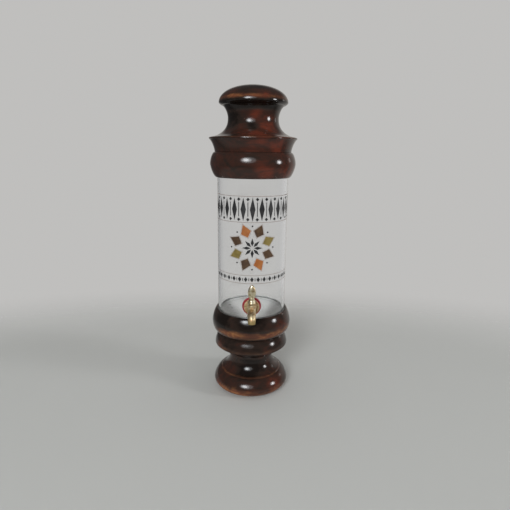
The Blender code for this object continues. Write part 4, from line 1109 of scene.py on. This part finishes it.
# An olive tone, for the dull spots' tarnish and for painted shade at the spout's end.
TARNISH_AND_SHADE = (0.34, 0.26, 0.10)
NOSE_SHADE_TOP = body_low.z + 10 * MM
NOSE_SHADE_FULL = body_low.z + 4 * MM
NOSE_SHADE_RAGGED = 6 * MM


def polished_brass(name, gloss, bright, rosy):
    """Old brass rubbed satin: rosy where the zinc has gone, and dull greenish in spots.

    Gloss is its least roughness. Towards the spout's end it is darker, olive and rougher: painted shade that
    dims the highlight there.
    """
    metal = Finish(bpy.data.materials.new(name), Metallic=1.0)
    cloud = metal.noise(metal.coords(), 210, 3, 0.5)
    spots = metal.noise(metal.coords(), 520, 3, 0.6)
    colour = metal.mix(metal.ease(cloud, 0.46, 0.62), bright, rosy)
    x, y, z = metal.split(metal.coords())
    # Painted shade: darker and rougher towards the spout's end.
    nose_shade = metal.ease(z + (spots - 0.5) * NOSE_SHADE_RAGGED, NOSE_SHADE_TOP, NOSE_SHADE_FULL)
    dull = metal.ease(spots * 0.6 + cloud * 0.4, 0.43, 0.63) | nose_shade
    metal.set(Base_Color=metal.mix(dull * 0.85, colour, TARNISH_AND_SHADE),
              Roughness=gloss + dull * 0.12 + nose_shade * 0.2 + spots * 0.06,
              Normal=metal.bump(spots * 0.6 + cloud * 0.8, 0.2 * MM, 0.7))
    return metal.owner


brass = polished_brass("tap_brass", 0.41, (0.82, 0.67, 0.43), (0.80, 0.50, 0.33))
fit(tap, brass, "stand", "brass", "tap_body")


# Nut and its washer. Machined from the same brass, they run on the shank inside the jar and draw
# the tap and both rubber washers to the glass.
nut_low, nut_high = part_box("tap_nut")
NUT_RADIUS = 8.0 * MM
NUT_BEVEL = 0.8 * MM
NUT_HOLE = SHANK_RADIUS + FIT


def hex_nut(name, back, front, corner, hole):
    """A hex nut along the tap's axis, whose corners are at radius corner.

    Its side is at corner cos(30) / cos(a') from the middle, a' being the turn from the nearest
    flat's middle. Over an eighth of its thickness at each end it is also no further out than a
    cone that takes NUT_BEVEL off the corners.
    """
    turn = turns(144)
    side = corner * math.cos(math.pi / 6) / np.cos((turn + math.pi / 6) % (math.pi / 3) - math.pi / 6)
    rings = 24
    through = np.linspace(0, 1, rings)[:, None]
    inset = NUT_BEVEL * (1 - np.minimum(through, 1 - through) * 8).clip(0)
    outside = np.minimum(side, corner - inset)
    depth = back + (front - back) * through
    outer = np.stack([outside * np.cos(turn), outside * np.sin(turn), depth + 0 * turn], axis=2)
    inner = lathe(np.stack([np.full(rings, hole), np.linspace(front, back, rings)], axis=1), len(turn))
    nut = skin(name, forwards(np.vstack([outer, inner])), ring=True)
    nut.data.set_sharp_from_angle(angle=math.radians(25))
    return nut


fit(hex_nut("nut", -nut_high.y, -nut_low.y, NUT_RADIUS, NUT_HOLE), brass, "stand", "brass", "tap_nut")
flat_low, flat_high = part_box("tap_nut_washer")
flat_washer = skin("nut_washer", forwards(lathe(sanded(
    (NUT_HOLE, -flat_high.y),
    (flat_high.x, -flat_high.y),
    (flat_high.x, -flat_low.y),
    (NUT_HOLE, -flat_low.y),
    soft=0.12 * MM, length=0.8 * MM, ring=True), 96)), ring=True)
fit(flat_washer, brass, "stand", "brass", "tap_nut_washer")


# Tap key. A tapered plug with a port across it, a stepped boss and a tulip-shaped grip, cast in
# brass and polished, which turns in the housing.
BOSS_Z = HOUSING_TOP + FIT
BOSS_RADIUS = 4.8 * MM
BOSS_EDGE_Z = BOSS_Z + 2 * MM
SHOULDER_RADIUS = BOSS_RADIUS - 0.6 * MM
BOSS_SHOULDER_Z = BOSS_Z + 4 * MM
WAIST_RADIUS = 3.1 * MM
WAIST_Z = BOSS_Z + 6.0 * MM
GRIP_Z = WAIST_Z + 2.2 * MM
GRIP_WIDTH = 10.0 * MM
GRIP_THICKNESS = 4.8 * MM
GRIP_LOW_Z = GRIP_Z - FIT
GRIP_SHARES = np.array([
    (0, 0.62, 0.86), (0.12, 0.78, 0.92), (0.26, 0.92, 0.98), (0.42, 0.97, 1.0), (0.58, 0.92, 0.96),
    (0.74, 0.76, 0.86), (0.88, 0.52, 0.68), (0.96, 0.30, 0.44), (1.0, 0.08, 0.20)])
PLUG_TOP_Z = BOSS_Z + 1 * MM
PORT_RADIUS = 1.6 * MM
PORT_REACH = 8 * MM

boss = skin("boss", upright(lathe(sanded(
    (0, BOSS_Z),
    (BOSS_RADIUS, BOSS_Z),
    (BOSS_RADIUS, BOSS_EDGE_Z),
    (SHOULDER_RADIUS, BOSS_SHOULDER_Z),
    quarter((SHOULDER_RADIUS, BOSS_SHOULDER_Z), (WAIST_RADIUS, WAIST_Z), "upright"),
    (WAIST_RADIUS, GRIP_Z),
    (0, GRIP_Z),
    soft=0.15 * MM, length=0.6 * MM), 64)))


def tulip(shares):
    """A grid of ovals up the key's axis, (width / 2 cos a, thickness / 2 sin a) at turn a.

    Each share is (of the grip's height, of GRIP_WIDTH, of GRIP_THICKNESS), and the ovals
    between two shares go evenly from one to the other.
    """
    rise = np.linspace(0, 1, 60)
    wide, deep = [np.interp(rise, shares[:, 0], shares[:, column])[:, None] for column in (1, 2)]
    height = GRIP_LOW_Z + (key_high.z - GRIP_LOW_Z) * rise[:, None]
    turn = turns(64)
    return upright(np.stack([GRIP_WIDTH / 2 * wide * np.cos(turn), GRIP_THICKNESS / 2 * deep * np.sin(turn),
                             height + 0 * turn], axis=2))


handle = cast("key", [boss, skin("grip", tulip(GRIP_SHARES))], 0.2 * MM, 5)
plug = skin("plug", upright(lathe(sanded(
    (0, key_low.z),
    (KEY_FOOT_RADIUS, key_low.z),
    (KEY_TOP_RADIUS, HOUSING_TOP),
    (KEY_TOP_RADIUS, PLUG_TOP_Z),
    (0, PLUG_TOP_Z),
    soft=0.1 * MM, length=0.8 * MM), 64)))
port = lathe(np.array([
    (0, -PORT_REACH), (PORT_RADIUS, -PORT_REACH), (PORT_RADIUS, PORT_REACH), (0, PORT_REACH)]), 32)
cut(plug, skin("port", port[..., [2, 1, 0]] + (0, -KEY_REACH, TAP_Z)))
joined(handle, plug)
fit(handle, polished_brass("key_brass", 0.29, (0.84, 0.75, 0.54), (0.70, 0.52, 0.33)),
    "key", "brass", "tap_key")


# Key washer and screw. A thin washer and a slotted screw of the tap's brass, driven up into the
# plug's narrow end, hold the key in its housing.
for name in ("tap_key_washer", "tap_key_screw"):
    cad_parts[name].material_slots[0].material = brass


# Gasket. A flat ring cut from pressed cork, which lies between the jar's rim and the collar's
# ledge and lifts off with the cap.
gasket_low, gasket_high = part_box("cap_gasket")
cork = Finish(bpy.data.materials.new("gasket_cork"), Roughness=0.85)
grains = cork.node("TexVoronoi", {}, {"Vector": cork.coords(), "Scale": 700})
specks = cork.noise(cork.coords(), 900, 3, 0.6)
bark = cork.mix(cork.ease(grains * 0.6 + specks * 0.6, 0.3, 0.8), (0.52, 0.34, 0.19), (0.24, 0.13, 0.06))
cork.set(Base_Color=bark, Normal=cork.bump(grains, 0.12 * MM))
gasket = skin("gasket", lathe(sanded(
    (INNER_RADIUS, gasket_low.z),
    (GLASS_RADIUS, gasket_low.z),
    (GLASS_RADIUS, gasket_high.z),
    (INNER_RADIUS, gasket_high.z),
    soft=0.2 * MM, ring=True)), ring=True)
fit(gasket, cork.owner, "cap", "cork", "cap_gasket")


# Plug disc and its screws. A plain turned disc of pale wood that hangs in the jar's mouth, with a
# groove round it for the seal, held up under the knob by three countersunk brass screws.
plug_low, plug_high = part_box("cap_plug")
seal_low, seal_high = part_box("cap_seal")
PLUG_RADIUS = plug_high.x
PLUG_BEVEL = 1.2 * MM
SEAL_RADIUS = (seal_high.z - seal_low.z) / 2
SEAL_Z = (seal_high.z + seal_low.z) / 2
GROOVE = SEAL_RADIUS + FIT
GROOVE_FLOOR = seal_high.x - SEAL_RADIUS - GROOVE
SCREW_HEAD = 4.3 * MM
SCREW_HEAD_LEVEL = 0.3 * MM
SCREW_HEAD_DEPTH = 2.5 * MM
SCREW_SHANK = 2.3 * MM
SCREW_REACH = 16 * MM

disc = skin("plug_disc", lathe(sanded(
    (0, plug_low.z),
    (PLUG_RADIUS - PLUG_BEVEL, plug_low.z),
    (PLUG_RADIUS, plug_low.z + PLUG_BEVEL),
    (PLUG_RADIUS, SEAL_Z - GROOVE),
    (GROOVE_FLOOR, SEAL_Z - GROOVE),
    (GROOVE_FLOOR, SEAL_Z + GROOVE),
    (PLUG_RADIUS, SEAL_Z + GROOVE),
    (PLUG_RADIUS, plug_high.z),
    (0, plug_high.z),
    soft=0.2 * MM)))
for name in ("plug_screw_1", "plug_screw_2", "plug_screw_3"):
    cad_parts[name].material_slots[0].material = brass
    low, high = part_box(name)
    place = ((low.x + high.x) / 2, (low.y + high.y) / 2, plug_low.z)
    cut(disc, skin("countersink", lathe(np.array([
        (0, -OVERRUN),
        (SCREW_HEAD, -OVERRUN),
        (SCREW_HEAD, SCREW_HEAD_LEVEL),
        (SCREW_SHANK, SCREW_HEAD_DEPTH),
        (SCREW_SHANK, SCREW_REACH),
        (0, SCREW_REACH)]), 48) + place))
beech = Finish(bpy.data.materials.new("plug_beech"), Roughness=0.5, Specular_IOR_Level=0.35)
lines = beech.noise(beech.scaled(60 * MM, 2.2 * MM, 2.2 * MM), 1, 4, 0.6)
flecks = beech.noise(beech.scaled(3 * MM, 0.4 * MM, 0.4 * MM), 1, 2, 0.5)
grain = beech.mix(beech.ease(lines * 0.8 + flecks * 0.3, 0.35, 0.8), (0.42, 0.24, 0.12), (0.22, 0.10, 0.045))
beech.set(Base_Color=grain, Normal=beech.bump(flecks, 0.05 * MM))
fit(disc, beech.owner, "cap", "plug_wood", "cap_plug")


# Seal. A round ring of black rubber, stretched into the disc's groove, that closes the jar's
# mouth when the cap is down.
black = Finish(bpy.data.materials.new("seal_rubber"), Roughness=0.45)
dust = black.noise(black.coords(), 500, 4, 0.6)
black.set(Base_Color=black.mix(black.ease(dust, 0.45, 0.8), (0.012, 0.012, 0.013), (0.05, 0.05, 0.05)),
          Normal=black.bump(dust, 0.02 * MM))
turn = turns(32)
seal_line = np.stack([seal_high.x - SEAL_RADIUS + SEAL_RADIUS * np.cos(turn),
                      SEAL_Z + SEAL_RADIUS * np.sin(turn)], axis=1)
fit(skin("seal", lathe(seal_line), ring=True), black.owner, "cap", "black_rubber", "cap_seal")
